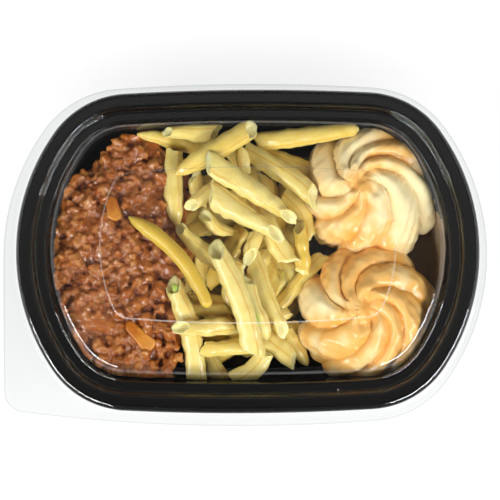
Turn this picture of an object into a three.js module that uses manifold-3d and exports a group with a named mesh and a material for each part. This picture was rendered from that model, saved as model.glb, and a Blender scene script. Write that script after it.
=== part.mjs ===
// Ready meal: minced meat in sauce, cut wax beans and two piped rosettes of mashed potato in a
// black thermoformed tray, closed by a clear dome lid that snaps over the rim.
// Millimetres, +Z up. The origin is the middle of the tray's base, and the tray is long along X.

import * as THREE from "three";
import { mergeVertices } from "three/addons/utils/BufferGeometryUtils.js";
import Module from "manifold-3d";

const wasm = await Module();
wasm.setup();

// The rim's outline seen from above: bowed ends, nearly straight sides and round corners, all tangent
const RIM = { halfLength: 110, halfWidth: 77.4, endRadius: 100, sideRadius: 1090, cornerRadius: 44 };
const POINTS_END = 3;
const POINTS_CORNER = 6;
const POINTS_SIDE = 2;

// Tray
const RIM_HEIGHT = 36;
const TRAY_WALL = 0.9;
const RIM_WIDTH = 6.6;
const LEDGE_DROP = 3.2;
const LEDGE_WIDTH = 5.4;
const STEP_RUN = 1.6;
const WALL_DRAFT = THREE.MathUtils.degToRad(11);
const FLOOR_FILLET = 8;
const LIP_DROP = 3.6;
const EDGE_ROUND = 0.8;

// Clear lid
const LID_WALL = 0.5;
const FIT_GAP = 0.35;
const SKIRT_DROP = 4.2;
const DOME_WALL_RUN = 3.2;
const DOME_WALL_TOP = 45.2;
const SHOULDER_TOP = 48.4;
const SHOULDER_RUN = 5;
const SHOULDER_BEND = 0.35;
const STEP_BEND = 0.6;
const PANEL_HEIGHT = 53.2;
const PANEL_STEP = 1;
const PANEL = { halfLength: 70, halfWidth: 37.6, endRadius: 72, sideRadius: 620, cornerRadius: 10 };
const FLANGE = { halfLength: 114.8, halfWidth: 81.9, endRadius: 104, sideRadius: 900, cornerRadius: 46 };
const FLANGE_SHIFT = { x: -1.2, y: -1.5 };
const TAB_CORNER = { endRadius: 4000, sideRadius: 780, cornerRadius: 10 };

// Food
const FOOD_GAP = 0.4;
const ROSETTE_GAP = 1;
const SLIVER = 0.05;
const FOOD_FLOOR = 2.5;
const ROSETTE = { radius: 35, height: 34, ridges: 8, ridgeDepth: 5, twist: 2, steps: 9, segments: 48 };
const ROSETTE_FOOT = 0.86;
const ROSETTE_SKIRT = 0.3;
const ROSETTE_FULLNESS = { across: 0.8, up: 1.15 };
const ROSETTES = [
  { name: "mash_rosette_back", x: 59.5, y: 31, turn: 0.3 },
  { name: "mash_rosette_front", x: 57, y: -28.5, turn: 0 },
];
const BEAN_SIDES = 8;
const BEAN_STEPS = 4;
const BEAN_FLATTEN = 0.88;
const BEAN_CUT_END = 0.9;
const BEAN_TIP_END = 0.3;
const BEAN_CORE = { x: -5, y: -2, halfLength: 31, halfWidth: 57, height: 23, drop: 0.35, turn: 0 };
const MINCE_CORE = { x: -63, y: -1, halfLength: 34, halfWidth: 62, height: 21, drop: 0.22, turn: -8 };
const MOUND_REACHES = [1, 0.85, 0.6, 0.3, 0];
const MOUND_FOOT = 0.93;
const CRUMB_COUNT = 48;
const CRUMB_RADIUS = { least: 3.6, most: 6 };
const HEAP_SQUARENESS = 2.7;
const HEAP_SEGMENTS = 24;
const CARROT = { width: 6.5, thickness: 2.6 };
const CARROTS = [
  { name: "carrot_strip_front", x: -51.5, y: -39.5, z: 26.2, length: 18, turn: -45, lean: 6 },
  { name: "carrot_strip_back", x: -64, y: 21.5, z: 27, length: 12.5, turn: -78, lean: -5 },
];

// Each bean runs from one end to the other, bowed sideways in plan; a tip is a whole end, not a cut one
const BEANS = [
  { from: [-53, 58, 23], to: [-19, 51, 20], width: 8.8, bow: 1, tip: "from" },
  { from: [-38, 57.5, 28], to: [-15, 58.5, 27], width: 8.2, bow: 0 },
  { from: [-34, 37, 31], to: [2, 58, 33], width: 10.4, bow: 1, tip: "from" },
  { from: [-35, 50, 23], to: [-33, 13, 22], width: 9.4, bow: -2, tip: "to" },
  { from: [-18, 42, 35], to: [20, 16, 34], width: 10.4, bow: 0 },
  { from: [-27, 23, 28], to: [-11, 34, 29], width: 7.2, bow: 0 },
  { from: [0, 50, 25], to: [31, 26, 30], width: 10.2, bow: 1 },
  { from: [4, 56, 17], to: [51, 61, 26], width: 9, bow: -1 },
  { from: [7, 50, 16], to: [37, 38, 20], width: 8.6, bow: -1 },
  { from: [-17, 28, 30], to: [13, 7, 33], width: 10.4, bow: 0 },
  { from: [4, 26, 25], to: [20, -4, 29], width: 9.4, bow: -2 },
  { from: [-38, 14, 18], to: [-14, 23, 19], width: 7.6, bow: 0 },
  { from: [-32, 11, 28], to: [-2, -8, 27], width: 8.8, bow: -4 },
  { from: [-14, 0, 35], to: [2, -49, 29], width: 10.6, bow: 2 },
  { from: [5, 11, 27], to: [1, -3, 29], width: 9, bow: 0 },
  { from: [2, -4, 26], to: [17, -37, 25], width: 8.8, bow: -1 },
  { from: [0, -14, 31], to: [9, -42, 27], width: 9.6, bow: -2, tip: "to" },
  { from: [14, -25, 18], to: [36, -1, 21], width: 7.2, bow: 0 },
  { from: [25, 12, 23], to: [26, -9, 21], width: 8.2, bow: 0 },
  { from: [-56, 17, 32], to: [-20, -25, 29], width: 8.6, bow: -5, tip: "both" },
  { from: [-35, -16, 30], to: [-25, -62, 21], width: 9.6, bow: 2 },
  { from: [-29, -27, 23], to: [-10, -26, 20], width: 5.4, bow: 0 },
  { from: [-32, -36, 30], to: [-8, -35, 24], width: 8.8, bow: -1 },
  { from: [-22, -45, 24], to: [0, -44, 20], width: 7.4, bow: -1 },
  { from: [-20, -46, 16], to: [-12, -62, 14], width: 8, bow: 0 },
  { from: [7, -48, 23], to: [-7, -62, 19], width: 9.4, bow: 2 },
  { from: [0, -32, 20], to: [21, -51, 17], width: 9.6, bow: 0 },
  { from: [17, -34, 16], to: [28, -53, 10], width: 7.6, bow: 0 },
  { from: [-22, 2, 20], to: [-23, -17, 16], width: 7, bow: 0 },
  { from: [18, 30, 21], to: [30, 8, 18], width: 7.6, bow: 2 },
  { from: [-3, 51, 27], to: [-1, 37, 25], width: 6, bow: 0, tip: "from" },
  { from: [-25, 38, 23], to: [-23, 24, 22], width: 7, bow: 0 },
  { from: [-20, 18, 23], to: [-8, 9, 22], width: 7.6, bow: -1 },
];

const blackPlastic = new THREE.MeshStandardMaterial({ color: 0x1d1c1b, roughness: 0.35, metalness: 0 });
const clearPlastic = new THREE.MeshStandardMaterial({
  color: 0xf2f3f3,
  roughness: 0.06,
  metalness: 0,
  transparent: true,
  opacity: 0.2,
});
const mincedMeat = new THREE.MeshStandardMaterial({ color: 0x8f5228, roughness: 0.35, metalness: 0 });
const cookedCarrot = new THREE.MeshStandardMaterial({ color: 0xc07c34, roughness: 0.4, metalness: 0 });
const cookedBean = new THREE.MeshStandardMaterial({ color: 0xd8c376, roughness: 0.4, metalness: 0 });
const mashedPotato = new THREE.MeshStandardMaterial({ color: 0xf6dfa0, roughness: 0.5, metalness: 0 });

// Seeded draw, so that the crumbs lie the same way each time
let drawState = 20261;
function draw(least, most) {
  drawState = (Math.imul(drawState, 1664525) + 1013904223) >>> 0;
  return least + (most - least) * (drawState / 2 ** 32);
}

// One quarter of an outline, from the middle of the end to just before the middle of the side
function quarterOutline({ halfLength, halfWidth, endRadius, sideRadius, cornerRadius }) {
  const end = new THREE.Vector2(halfLength - endRadius, 0);
  const side = new THREE.Vector2(0, halfWidth - sideRadius);
  const toEnd = endRadius - cornerRadius;
  const toSide = sideRadius - cornerRadius;
  const between = side.clone().sub(end);
  const span = between.length();
  const along = (toEnd ** 2 - toSide ** 2 + span ** 2) / (2 * span);
  const across = Math.sqrt(toEnd ** 2 - along ** 2);
  between.normalize();
  const corner = end.clone().addScaledVector(between, along);
  corner.addScaledVector(new THREE.Vector2(between.y, -between.x), -across);
  const endAngle = corner.clone().sub(end).angle();
  const sideAngle = corner.clone().sub(side).angle();
  const arcs = [
    [end, endRadius, 0, endAngle, POINTS_END],
    [corner, cornerRadius, endAngle, sideAngle, POINTS_CORNER],
    [side, sideRadius, sideAngle, Math.PI / 2, POINTS_SIDE],
  ];
  return arcs.flatMap(([centre, radius, first, last, count]) =>
    new THREE.EllipseCurve(centre.x, centre.y, radius, radius, first, last).getPoints(count).slice(0, -1),
  );
}

// A closed outline at one height, with its front left quarter drawn to another size if one is given
function ring(outline, z, frontLeft = outline, shift = { x: 0, y: 0 }) {
  const top = outline.halfWidth;
  const right = quarterOutline(outline);
  const left = quarterOutline(frontLeft);
  const mirrored = (points, endPoint) => [endPoint, ...points.slice(1).reverse()];
  const plan = [
    ...right,
    ...mirrored(right, new THREE.Vector2(0, top)).map((p) => new THREE.Vector2(-p.x, p.y)),
    ...left.map((p) => new THREE.Vector2(-p.x, -p.y)),
    ...mirrored(right, new THREE.Vector2(0, top)).map((p) => new THREE.Vector2(p.x, -p.y)),
  ];
  return plan.map((p) => new THREE.Vector3(p.x + shift.x, p.y + shift.y, z));
}

// The rim's outline moved inwards or outwards by one distance all round
function inset(distance) {
  return Object.fromEntries(Object.entries(RIM).map(([key, size]) => [key, size + distance]));
}

// A solid through a row of rings that all have the same count of points, closed flat at both ends
function loft(rings) {
  const count = rings[0].length;
  const points = rings.flat();
  const faces = [];
  const next = (i) => (i + 1) % count;
  for (let k = 0; k + 1 < rings.length; k++) {
    for (let i = 0; i < count; i++) {
      const low = k * count;
      const high = low + count;
      faces.push(low + i, low + next(i), high + next(i), low + i, high + next(i), high + i);
    }
  }
  const middle = (points) => points.reduce((sum, p) => sum.add(p), new THREE.Vector3()).divideScalar(count);
  const first = points.push(middle(rings[0])) - 1;
  const last = points.push(middle(rings.at(-1))) - 1;
  const lastRing = (rings.length - 1) * count;
  for (let i = 0; i < count; i++) {
    faces.push(first, next(i), i, last, lastRing + i, lastRing + next(i));
  }
  return new THREE.BufferGeometry().setFromPoints(points).setIndex(faces);
}

// A wall profile moved sideways by one distance, to the right of its way for a positive one
function parallel(profile, distance) {
  const normals = profile.slice(1).map((p, i) => {
    const way = new THREE.Vector2(p[0] - profile[i][0], p[1] - profile[i][1]).normalize();
    return new THREE.Vector2(way.y, -way.x);
  });
  return profile.map(([offset, z], i) => {
    const before = normals[Math.max(i - 1, 0)];
    const after = normals[Math.min(i, normals.length - 1)];
    const share = distance / (1 + before.dot(after));
    return [offset + (before.x + after.x) * share, z + (before.y + after.y) * share];
  });
}

// The solid of a geometry whose faces share no points yet
function solidOf(geometry) {
  const bare = geometry.clone();
  bare.deleteAttribute("normal");
  bare.deleteAttribute("uv");
  const merged = mergeVertices(bare, 1e-4);
  return new wasm.Manifold(
    new wasm.Mesh({
      numProp: 3,
      vertProperties: new Float32Array(merged.attributes.position.array),
      triVerts: new Uint32Array(merged.index.array),
    }),
  );
}

// The largest body of a solid as a geometry, without the scraps that cutting leaves
function geometryOf(solid) {
  const bodies = solid.simplify(SLIVER).decompose().sort((a, b) => b.volume() - a.volume());
  const { vertProperties, triVerts } = bodies[0].getMesh();
  const position = new THREE.BufferAttribute(vertProperties, 3);
  return new THREE.BufferGeometry().setAttribute("position", position).setIndex([...triVerts]);
}

function join(solids) {
  return solids.reduce((sum, solid) => sum.add(solid));
}

// The tray's food side from the edge of the flat floor out to the lip, as distances from the rim and heights
function trayProfile() {
  const ledge = RIM_HEIGHT - LEDGE_DROP;
  const ledgeEnd = -(RIM_WIDTH + STEP_RUN + LEDGE_WIDTH);
  const wallTop = [ledgeEnd - EDGE_ROUND, ledge - EDGE_ROUND];
  const filletTop = TRAY_WALL + FLOOR_FILLET * (1 - Math.sin(WALL_DRAFT));
  const wallFoot = wallTop[0] - (wallTop[1] - filletTop) * Math.tan(WALL_DRAFT);
  const filletCentre = [wallFoot - FLOOR_FILLET * Math.cos(WALL_DRAFT), TRAY_WALL + FLOOR_FILLET];
  const fillet = [0, 1 / 3, 2 / 3, 1].map((share) => {
    const angle = -Math.PI / 2 + share * (Math.PI / 2 - WALL_DRAFT);
    const out = filletCentre[0] + FLOOR_FILLET * Math.cos(angle);
    return [out, filletCentre[1] + FLOOR_FILLET * Math.sin(angle)];
  });
  return [
    ...fillet,
    wallTop,
    [ledgeEnd, ledge],
    [-(RIM_WIDTH + STEP_RUN), ledge],
    [-(RIM_WIDTH + EDGE_ROUND), RIM_HEIGHT - EDGE_ROUND],
    [-RIM_WIDTH, RIM_HEIGHT],
    [-EDGE_ROUND, RIM_HEIGHT],
    [0, RIM_HEIGHT - EDGE_ROUND],
    [0, RIM_HEIGHT - LIP_DROP],
  ];
}

function tray() {
  const inside = trayProfile();
  const outside = parallel(inside, TRAY_WALL);
  const rings = [...outside, ...inside.reverse()].map(([offset, z]) => ring(inset(offset), z));
  return loft(rings);
}

// The lid's underside from the foot of its panel out to its skirt, fitted to the tray with a gap
function lidProfile() {
  const ledge = RIM_HEIGHT - LEDGE_DROP + FIT_GAP;
  const cover = RIM_HEIGHT + FIT_GAP;
  const stepFoot = -(RIM_WIDTH + STEP_RUN + 2 * FIT_GAP);
  const wallFoot = stepFoot - LEDGE_WIDTH + LID_WALL;
  const wallTop = wallFoot - DOME_WALL_RUN;
  const skirt = RIM_HEIGHT - SKIRT_DROP;
  return [
    [wallTop - SHOULDER_RUN, SHOULDER_TOP],
    [wallTop - SHOULDER_RUN * SHOULDER_BEND, (SHOULDER_TOP + DOME_WALL_TOP) / 2 + EDGE_ROUND],
    [wallTop, DOME_WALL_TOP],
    [wallFoot - EDGE_ROUND, ledge + EDGE_ROUND],
    [wallFoot, ledge],
    [stepFoot, ledge],
    [stepFoot + STEP_RUN * STEP_BEND, cover - EDGE_ROUND],
    [stepFoot + STEP_RUN, cover],
    [-EDGE_ROUND, cover],
    [FIT_GAP, cover - EDGE_ROUND],
    [FIT_GAP, skirt + EDGE_ROUND],
    [FIT_GAP + EDGE_ROUND, skirt],
  ];
}

function lid() {
  const panelTop = {
    ...PANEL,
    halfLength: PANEL.halfLength - PANEL_STEP,
    halfWidth: PANEL.halfWidth - PANEL_STEP,
  };
  const frontLeft = { ...FLANGE, ...TAB_CORNER };
  const side = (lift) => {
    const profile = lift ? parallel(lidProfile(), -lift) : lidProfile();
    return [
      ring(panelTop, PANEL_HEIGHT + PANEL_STEP + lift),
      ring(PANEL, PANEL_HEIGHT + lift),
      ...profile.map(([offset, z]) => ring(inset(offset), z)),
      ring(FLANGE, RIM_HEIGHT - SKIRT_DROP + lift, frontLeft, FLANGE_SHIFT),
    ];
  };
  return loft([...side(0), ...side(LID_WALL).reverse()]);
}

// The room for food inside the tray and under the lid, a gap away from both
function foodSpace() {
  const insideTray = parallel(trayProfile(), -FOOD_GAP).slice(0, 5);
  const underLid = parallel(lidProfile(), FOOD_GAP).slice(0, 4).reverse();
  const rings = [...insideTray, ...underLid].map(([offset, z]) => ring(inset(offset), z));
  return loft([...rings, ring(PANEL, PANEL_HEIGHT - FOOD_GAP)]);
}

// How high a mound stands at a share of its reach, as a share of its height
function moundRise(drop, reach) {
  return 1 - drop * reach ** 3;
}

// A mound made by turning a profile, then drawn out to a rounded rectangle in plan
function mound({ x, y, halfLength, halfWidth, height, drop, turn }, gap = 0) {
  const shoulder = MOUND_REACHES.map((reach) => new THREE.Vector2(reach, moundRise(drop, reach)));
  const profile = [new THREE.Vector2(0, 0), new THREE.Vector2(MOUND_FOOT, 0), ...shoulder];
  const geometry = new THREE.LatheGeometry(profile, HEAP_SEGMENTS).rotateX(Math.PI / 2);
  const position = geometry.getAttribute("position");
  for (let i = 0; i < position.count; i++) {
    const stretch = squareReach(Math.atan2(position.getY(i), position.getX(i)));
    position.setXY(i, position.getX(i) * stretch, position.getY(i) * stretch);
  }
  return geometry
    .scale(halfLength + gap, halfWidth + gap, height + gap)
    .rotateZ(THREE.MathUtils.degToRad(turn))
    .translate(x, y, FOOD_FLOOR);
}

// The reach of a rounded square of half width 1 in one direction
function squareReach(angle) {
  const across = Math.abs(Math.cos(angle)) ** HEAP_SQUARENESS;
  const along = Math.abs(Math.sin(angle)) ** HEAP_SQUARENESS;
  return (across + along) ** (-1 / HEAP_SQUARENESS);
}

// A piped rosette: a turned dome whose ridges wind clockwise from the middle out
function rosette({ x, y, turn }, gap = 0) {
  const { radius, height, ridges, ridgeDepth, twist, steps, segments } = ROSETTE;
  const dome = Array.from({ length: steps }, (_, i) => {
    const climb = (i / (steps - 1)) * (Math.PI / 2);
    const out = Math.cos(climb) ** ROSETTE_FULLNESS.across;
    const up = ROSETTE_SKIRT + (1 - ROSETTE_SKIRT) * Math.sin(climb) ** ROSETTE_FULLNESS.up;
    return new THREE.Vector2(radius * out, height * up);
  });
  dome[steps - 1].x = 0;
  const profile = [new THREE.Vector2(0, 0), new THREE.Vector2(radius * ROSETTE_FOOT, 0), ...dome];
  const geometry = new THREE.LatheGeometry(profile, segments).rotateX(Math.PI / 2);
  const position = geometry.getAttribute("position");
  for (let i = 0; i < position.count; i++) {
    const across = Math.hypot(position.getX(i), position.getY(i));
    const angle = Math.atan2(position.getY(i), position.getX(i));
    const hollow = 1 - Math.abs(Math.sin((ridges * angle) / 2));
    const groove = ridgeDepth * hollow * Math.min(1, (3 * across) / radius);
    const out = across ? across - groove + gap : 0;
    const wound = angle + turn - (twist * across) / radius;
    const rise = position.getZ(i);
    const sunk = rise ? rise + (rise / height) * (gap - groove / 2) : -gap;
    position.setXYZ(i, out * Math.cos(wound), out * Math.sin(wound), sunk);
  }
  return geometry.translate(x, y, FOOD_FLOOR);
}

// A cut bean: a flattened tube along a bowed line, full to its cut ends and drawn in at a whole tip
function bean({ from, to, width, bow, tip }, gap = 0) {
  const start = new THREE.Vector3(...from);
  const finish = new THREE.Vector3(...to);
  const way = finish.clone().sub(start).normalize();
  const sideways = new THREE.Vector3(-way.y, way.x, 0).normalize();
  const upward = way.clone().cross(sideways);
  start.addScaledVector(way, -gap);
  finish.addScaledVector(way, gap);
  const middle = start.clone().add(finish).divideScalar(2).addScaledVector(sideways, 2 * bow);
  const line = new THREE.QuadraticBezierCurve3(start, middle, finish);
  const radiusAt = (share) => {
    const drawnIn = (tip === "from" || tip === "both") && share === 0;
    const drawnOut = (tip === "to" || tip === "both") && share === 1;
    const full = share === 0 || share === 1 ? BEAN_CUT_END : 1;
    return (width / 2) * (drawnIn || drawnOut ? BEAN_TIP_END : full) + gap;
  };
  const rings = line.getPoints(BEAN_STEPS).map((centre, k) => {
    const radius = radiusAt(k / BEAN_STEPS);
    return Array.from({ length: BEAN_SIDES }, (_, i) => {
      const angle = (2 * Math.PI * i) / BEAN_SIDES;
      return centre
        .clone()
        .addScaledVector(sideways, radius * Math.cos(angle))
        .addScaledVector(upward, radius * BEAN_FLATTEN * Math.sin(angle));
    });
  });
  return loft(rings);
}

// A slice of carrot that lies on the meat: a rounded strip with a slight lean
function carrot({ x, y, z, length, turn, lean }, gap = 0) {
  const half = CARROT.width / 2 + gap;
  const reach = length / 2 + gap - half;
  const strip = new THREE.Shape();
  strip.absarc(reach, 0, half, -Math.PI / 2, Math.PI / 2, false);
  strip.absarc(-reach, 0, half, Math.PI / 2, (3 * Math.PI) / 2, false);
  return new THREE.ExtrudeGeometry(strip, {
    depth: CARROT.thickness + 2 * gap,
    bevelEnabled: false,
    curveSegments: 6,
  })
    .translate(0, 0, -CARROT.thickness / 2 - gap)
    .rotateY(THREE.MathUtils.degToRad(lean))
    .rotateZ(THREE.MathUtils.degToRad(turn))
    .translate(x, y, z);
}

// Crumbs of meat spread over the mound by a spiral that covers it evenly
function crumbs() {
  const { x, y, halfLength, halfWidth, height, drop, turn } = MINCE_CORE;
  const goldenTurn = Math.PI * (3 - Math.sqrt(5));
  return Array.from({ length: CRUMB_COUNT }, (_, i) => {
    const reach = Math.sqrt((i + 0.5) / CRUMB_COUNT);
    const angle = i * goldenTurn;
    const stretch = reach * squareReach(angle);
    const size = draw(CRUMB_RADIUS.least, CRUMB_RADIUS.most);
    return new THREE.IcosahedronGeometry(size, 0)
      .scale(draw(0.85, 1.25), draw(0.85, 1.25), draw(0.7, 1))
      .rotateZ(draw(0, Math.PI))
      .rotateX(draw(-0.6, 0.6))
      .translate(
        halfLength * stretch * Math.cos(angle),
        halfWidth * stretch * Math.sin(angle),
        FOOD_FLOOR + height * moundRise(drop, reach) + draw(-0.3, 0.4) * size,
      )
      .rotateZ(THREE.MathUtils.degToRad(turn))
      .translate(x, y, 0);
  });
}

// Sub-parts, each cut to leave a gap to its neighbours
const room = solidOf(foodSpace());
const [backCut, frontCut] = ROSETTES.map((place) => solidOf(rosette(place, ROSETTE_GAP)));
const backSolid = solidOf(rosette(ROSETTES[0])).intersect(room);
const frontSolid = solidOf(rosette(ROSETTES[1])).intersect(room).subtract(backCut);
const beanSolids = [solidOf(mound(BEAN_CORE)), ...BEANS.map((row) => solidOf(bean(row)))];
const beanHeap = join(beanSolids).intersect(room).subtract(backCut).subtract(frontCut);
const beanCuts = BEANS.map((row) => solidOf(bean(row, FOOD_GAP)));
const beanCut = join([solidOf(mound(BEAN_CORE, FOOD_GAP)), ...beanCuts]);
const carrotSolids = CARROTS.map((row) => solidOf(carrot(row)).intersect(room).subtract(beanCut));
const carrotCut = join(CARROTS.map((row) => solidOf(carrot(row, FOOD_GAP))));
const minceHeap = join([solidOf(mound(MINCE_CORE)), ...crumbs().map(solidOf)])
  .intersect(room)
  .subtract(beanCut)
  .subtract(carrotCut);

const meal = new THREE.Group();
meal.name = "tray_meal";
function place(name, geometry, material) {
  const mesh = new THREE.Mesh(geometry, material);
  mesh.name = name;
  meal.add(mesh);
}
place("tray", tray(), blackPlastic);
place("lid", lid(), clearPlastic);
place("mince", geometryOf(minceHeap), mincedMeat);
place("beans", geometryOf(beanHeap), cookedBean);
place(ROSETTES[0].name, geometryOf(backSolid), mashedPotato);
place(ROSETTES[1].name, geometryOf(frontSolid), mashedPotato);
CARROTS.forEach((row, i) => place(row.name, geometryOf(carrotSolids[i]), cookedCarrot));

export default meal;
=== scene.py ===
"""A ready meal in a black tray under a clear lid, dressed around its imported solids."""

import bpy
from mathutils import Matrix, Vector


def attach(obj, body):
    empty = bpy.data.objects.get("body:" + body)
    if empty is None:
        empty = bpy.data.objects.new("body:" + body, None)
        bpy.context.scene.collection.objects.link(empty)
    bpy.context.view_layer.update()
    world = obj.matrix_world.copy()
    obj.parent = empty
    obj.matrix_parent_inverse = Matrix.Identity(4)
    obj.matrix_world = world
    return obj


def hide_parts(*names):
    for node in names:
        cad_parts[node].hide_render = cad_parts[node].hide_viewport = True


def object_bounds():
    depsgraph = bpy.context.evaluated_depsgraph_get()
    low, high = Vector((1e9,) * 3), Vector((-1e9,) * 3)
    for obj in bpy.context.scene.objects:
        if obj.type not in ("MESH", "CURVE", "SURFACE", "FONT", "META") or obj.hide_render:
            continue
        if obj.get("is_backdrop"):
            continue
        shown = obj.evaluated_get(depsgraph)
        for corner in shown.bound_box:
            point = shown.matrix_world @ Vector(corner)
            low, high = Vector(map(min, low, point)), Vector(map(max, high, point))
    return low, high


bl_info = {
    "name": "Tray Ready Meal",
    "version": (1, 0, 0),
    "blender": (4, 5, 0),
    "location": "3D View > Sidebar > Tray Meal",
    "description": "Builds a ready meal of mince, beans and mash in a black tray with a clear lid",
    "category": "Add Mesh",
}

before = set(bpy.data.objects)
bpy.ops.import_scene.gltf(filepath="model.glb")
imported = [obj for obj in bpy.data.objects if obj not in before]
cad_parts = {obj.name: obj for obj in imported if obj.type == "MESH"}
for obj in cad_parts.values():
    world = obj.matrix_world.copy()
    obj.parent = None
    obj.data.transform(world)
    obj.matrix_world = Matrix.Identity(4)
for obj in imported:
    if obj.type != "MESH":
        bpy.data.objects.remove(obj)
CAD_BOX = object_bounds()

import math
from functools import partial
from typing import NamedTuple

import bmesh
import bpy
import numpy as np
from mathutils import Matrix, Vector
from mathutils.kdtree import KDTree

MM = 0.001
BODY = "root"


def linear(hex_colour):
    """An sRGB hex colour such as "#d8c376" as the three linear values that shaders take."""
    shares = [int(hex_colour[i : i + 2], 16) / 255 for i in (1, 3, 5)]
    return tuple(s / 12.92 if s <= 0.04045 else ((s + 0.055) / 1.055) ** 2.4 for s in shares)


def size(label, default, description):
    """A length property in millimetres."""
    return bpy.props.FloatProperty(name=label, description=description, default=default, min=0.0)


def colour(label, hex_colour, description):
    """A colour property with an sRGB hex default."""
    return bpy.props.FloatVectorProperty(
        name=label, description=description, default=linear(hex_colour), subtype="COLOR", min=0.0, max=1.0
    )


class TrayMealPack(bpy.types.PropertyGroup):
    """Sizes and colours of the tray and its lid, in millimetres."""

    rim_height: size("Rim height", 36.0, "Height of the tray's rim above the table")
    tray_wall: size("Tray wall", 0.9, "Thickness of the tray's formed sheet")
    rim_width: size("Rim width", 6.6, "Width of the rim's flat top")
    ledge_drop: size("Ledge drop", 3.2, "How far the ledge lies under the rim")
    ledge_width: size("Ledge width", 5.4, "Width of the ledge inside the rim")
    lid_wall: size("Lid wall", 0.5, "Thickness of the lid's clear sheet")
    fit_gap: size("Fit gap", 0.35, "Gap between lid and tray")
    panel_height: size("Panel height", 53.2, "Height of the lid at the foot of its raised panel")
    tray_colour: colour("Tray", "#0e0d0d", "Black of the tray's plastic")
    lid_tint: colour("Lid tint", "#fafbfb", "What the clear sheet lets through")
    # Darker tint at the lid's cut edge and on its slants: painted shade
    lid_edge_shade: colour("Lid edge tint", "#f2f4f4", "What the sheet lets through at its edge and on the slant")
    # Milky white of the stretched sheet at the raised panel's edge: partly whitening, partly a painted
    # highlight line
    lid_haze_and_sheen: colour("Lid haze", "#e1e1e2", "Stretched sheet along the edge of the raised panel")
    dust: colour("Dust", "#bcbcb8", "Specks of dust on the tray")


class TrayMealFood(bpy.types.PropertyGroup):
    """Sizes and colours of the meal, in millimetres."""

    rosette_radius: size("Rosette radius", 35.0, "Half width of a piped rosette")
    rosette_height: size("Rosette height", 34.0, "Height of a piped rosette")
    ridge_depth: size("Ridge depth", 5.4, "Depth of the grooves between piped ridges")
    crumb_least: size("Smallest crumb", 1.2, "Radius of the smallest crumbs of meat")
    crumb_most: size("Largest crumb", 3.4, "Radius of the largest crumbs of meat")
    bean_pale: colour("Pale bean", "#f2e094", "Skin of the palest beans")
    bean_deep: colour("Deep bean", "#e0bc46", "Skin of the yellowest beans")
    bean_flesh: colour("Bean flesh", "#f0e4a2", "Cut ends and insides of the pods")
    bean_seam: colour("Bean seam", "#deb044", "The line along a pod")
    bean_seed: colour("Bean seed", "#b4cc5c", "Unripe seeds and flecks")
    # Dark sauce in the hollows, which also stands as painted shade there
    meat_dark_and_shade: colour("Dark meat", "#7a3a10", "Sauce in the hollows between crumbs")
    meat_mid: colour("Meat", "#b0601a", "Crumbs coated with sauce")
    # Bare crumb tops, lighter where they stand high as painted light
    meat_bare_and_lit: colour("Light meat", "#cc8e4c", "Bare tops of crumbs")
    carrot: colour("Carrot", "#c8802e", "Cooked carrot")
    mash: colour("Mash", "#fbecbc", "Bare mashed potato")
    gravy_thin: colour("Thin gravy", "#f4c478", "Gravy in a film over mash")
    # Paler and greyer than gravy alone: partly a painted reflection of the lid's haze
    gravy_film_and_haze: colour("Gravy film", "#8a765e", "Gravy in a thin film on the tray")
    gravy_deep: colour("Deep gravy", "#eca23e", "Gravy pooled in the grooves")


class Outline(NamedTuple):
    """Four bowed sides and four round corners, all tangent, in millimetres."""

    half_length: float
    half_width: float
    end_radius: float
    side_radius: float
    corner_radius: float

    def moved(self, distance):
        """The outline moved outwards by one distance all round."""
        return Outline(*(length + distance for length in self))

    def corner(self):
        """Centres of the end, corner and side arcs of the quarter with positive x and y."""
        end = np.array([self.half_length - self.end_radius, 0.0])
        side = np.array([0.0, self.half_width - self.side_radius])
        to_end = self.end_radius - self.corner_radius
        to_side = self.side_radius - self.corner_radius
        span = np.linalg.norm(side - end)
        way = (side - end) / span
        along = (to_end**2 - to_side**2 + span**2) / (2 * span)
        across = math.sqrt(to_end**2 - along**2)
        return end, end + way * along + np.array([-way[1], way[0]]) * across, side


RIM = Outline(110, 77.4, 100, 1090, 44)
PANEL = Outline(70, 37.6, 72, 620, 10)
FLANGE = Outline(114.8, 81.9, 104, 900, 46)
FLANGE_TAB = Outline(114.8, 81.9, 4000, 780, 10)
FLANGE_SHIFT = np.array([-1.2, -1.5])
POINTS_END, POINTS_CORNER, POINTS_SIDE = 14, 22, 14

WALL_DRAFT = math.radians(11)
FLOOR_FILLET = 8.0
STEP_RUN = 1.6
LIP_DROP = 3.6
SKIRT_DROP = 4.2
EDGE_ROUND = 0.8
RIM_EDGE = 1.6
LID_EDGE = 2.0
BEND = 0.9
DOME_BEND = 2.4
DOME_WALL_RUN = 3.2
DOME_WALL_TOP = 45.2
SHOULDER_TOP = 48.4
SHOULDER_RUN = 5.0
SHOULDER_BULGE = 0.35
STEP_SLANT = 0.6
FILLET_POINTS = 9
FLANGE_INSETS = (-0.9, -0.3, 0.0)
PANEL_EDGE = (
    (-1.7, 1.0),
    (-1.05, 1.0),
    (-0.92, 0.93),
    (-0.74, 0.5),
    (-0.56, 0.05),
    (-0.4, -0.02),
    (0.5, -0.16),
)

# A bend takes at most this share of the flats beside it, and holds them flat a little further on
BEND_SHARE = 0.42
HOLD_SHARE = 0.46
HOLD_GAP = 0.12
TRAY_SHARP = math.radians(50)
LID_SHARP = math.radians(60)

# Rings of the lid beside its cut edge, which get painted shade, and those from its middle out that are milky,
# partly a painted highlight line
SHADED_EDGE_RINGS = 2
MILKY_SHEEN_RINGS = (2, 5)


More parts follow.
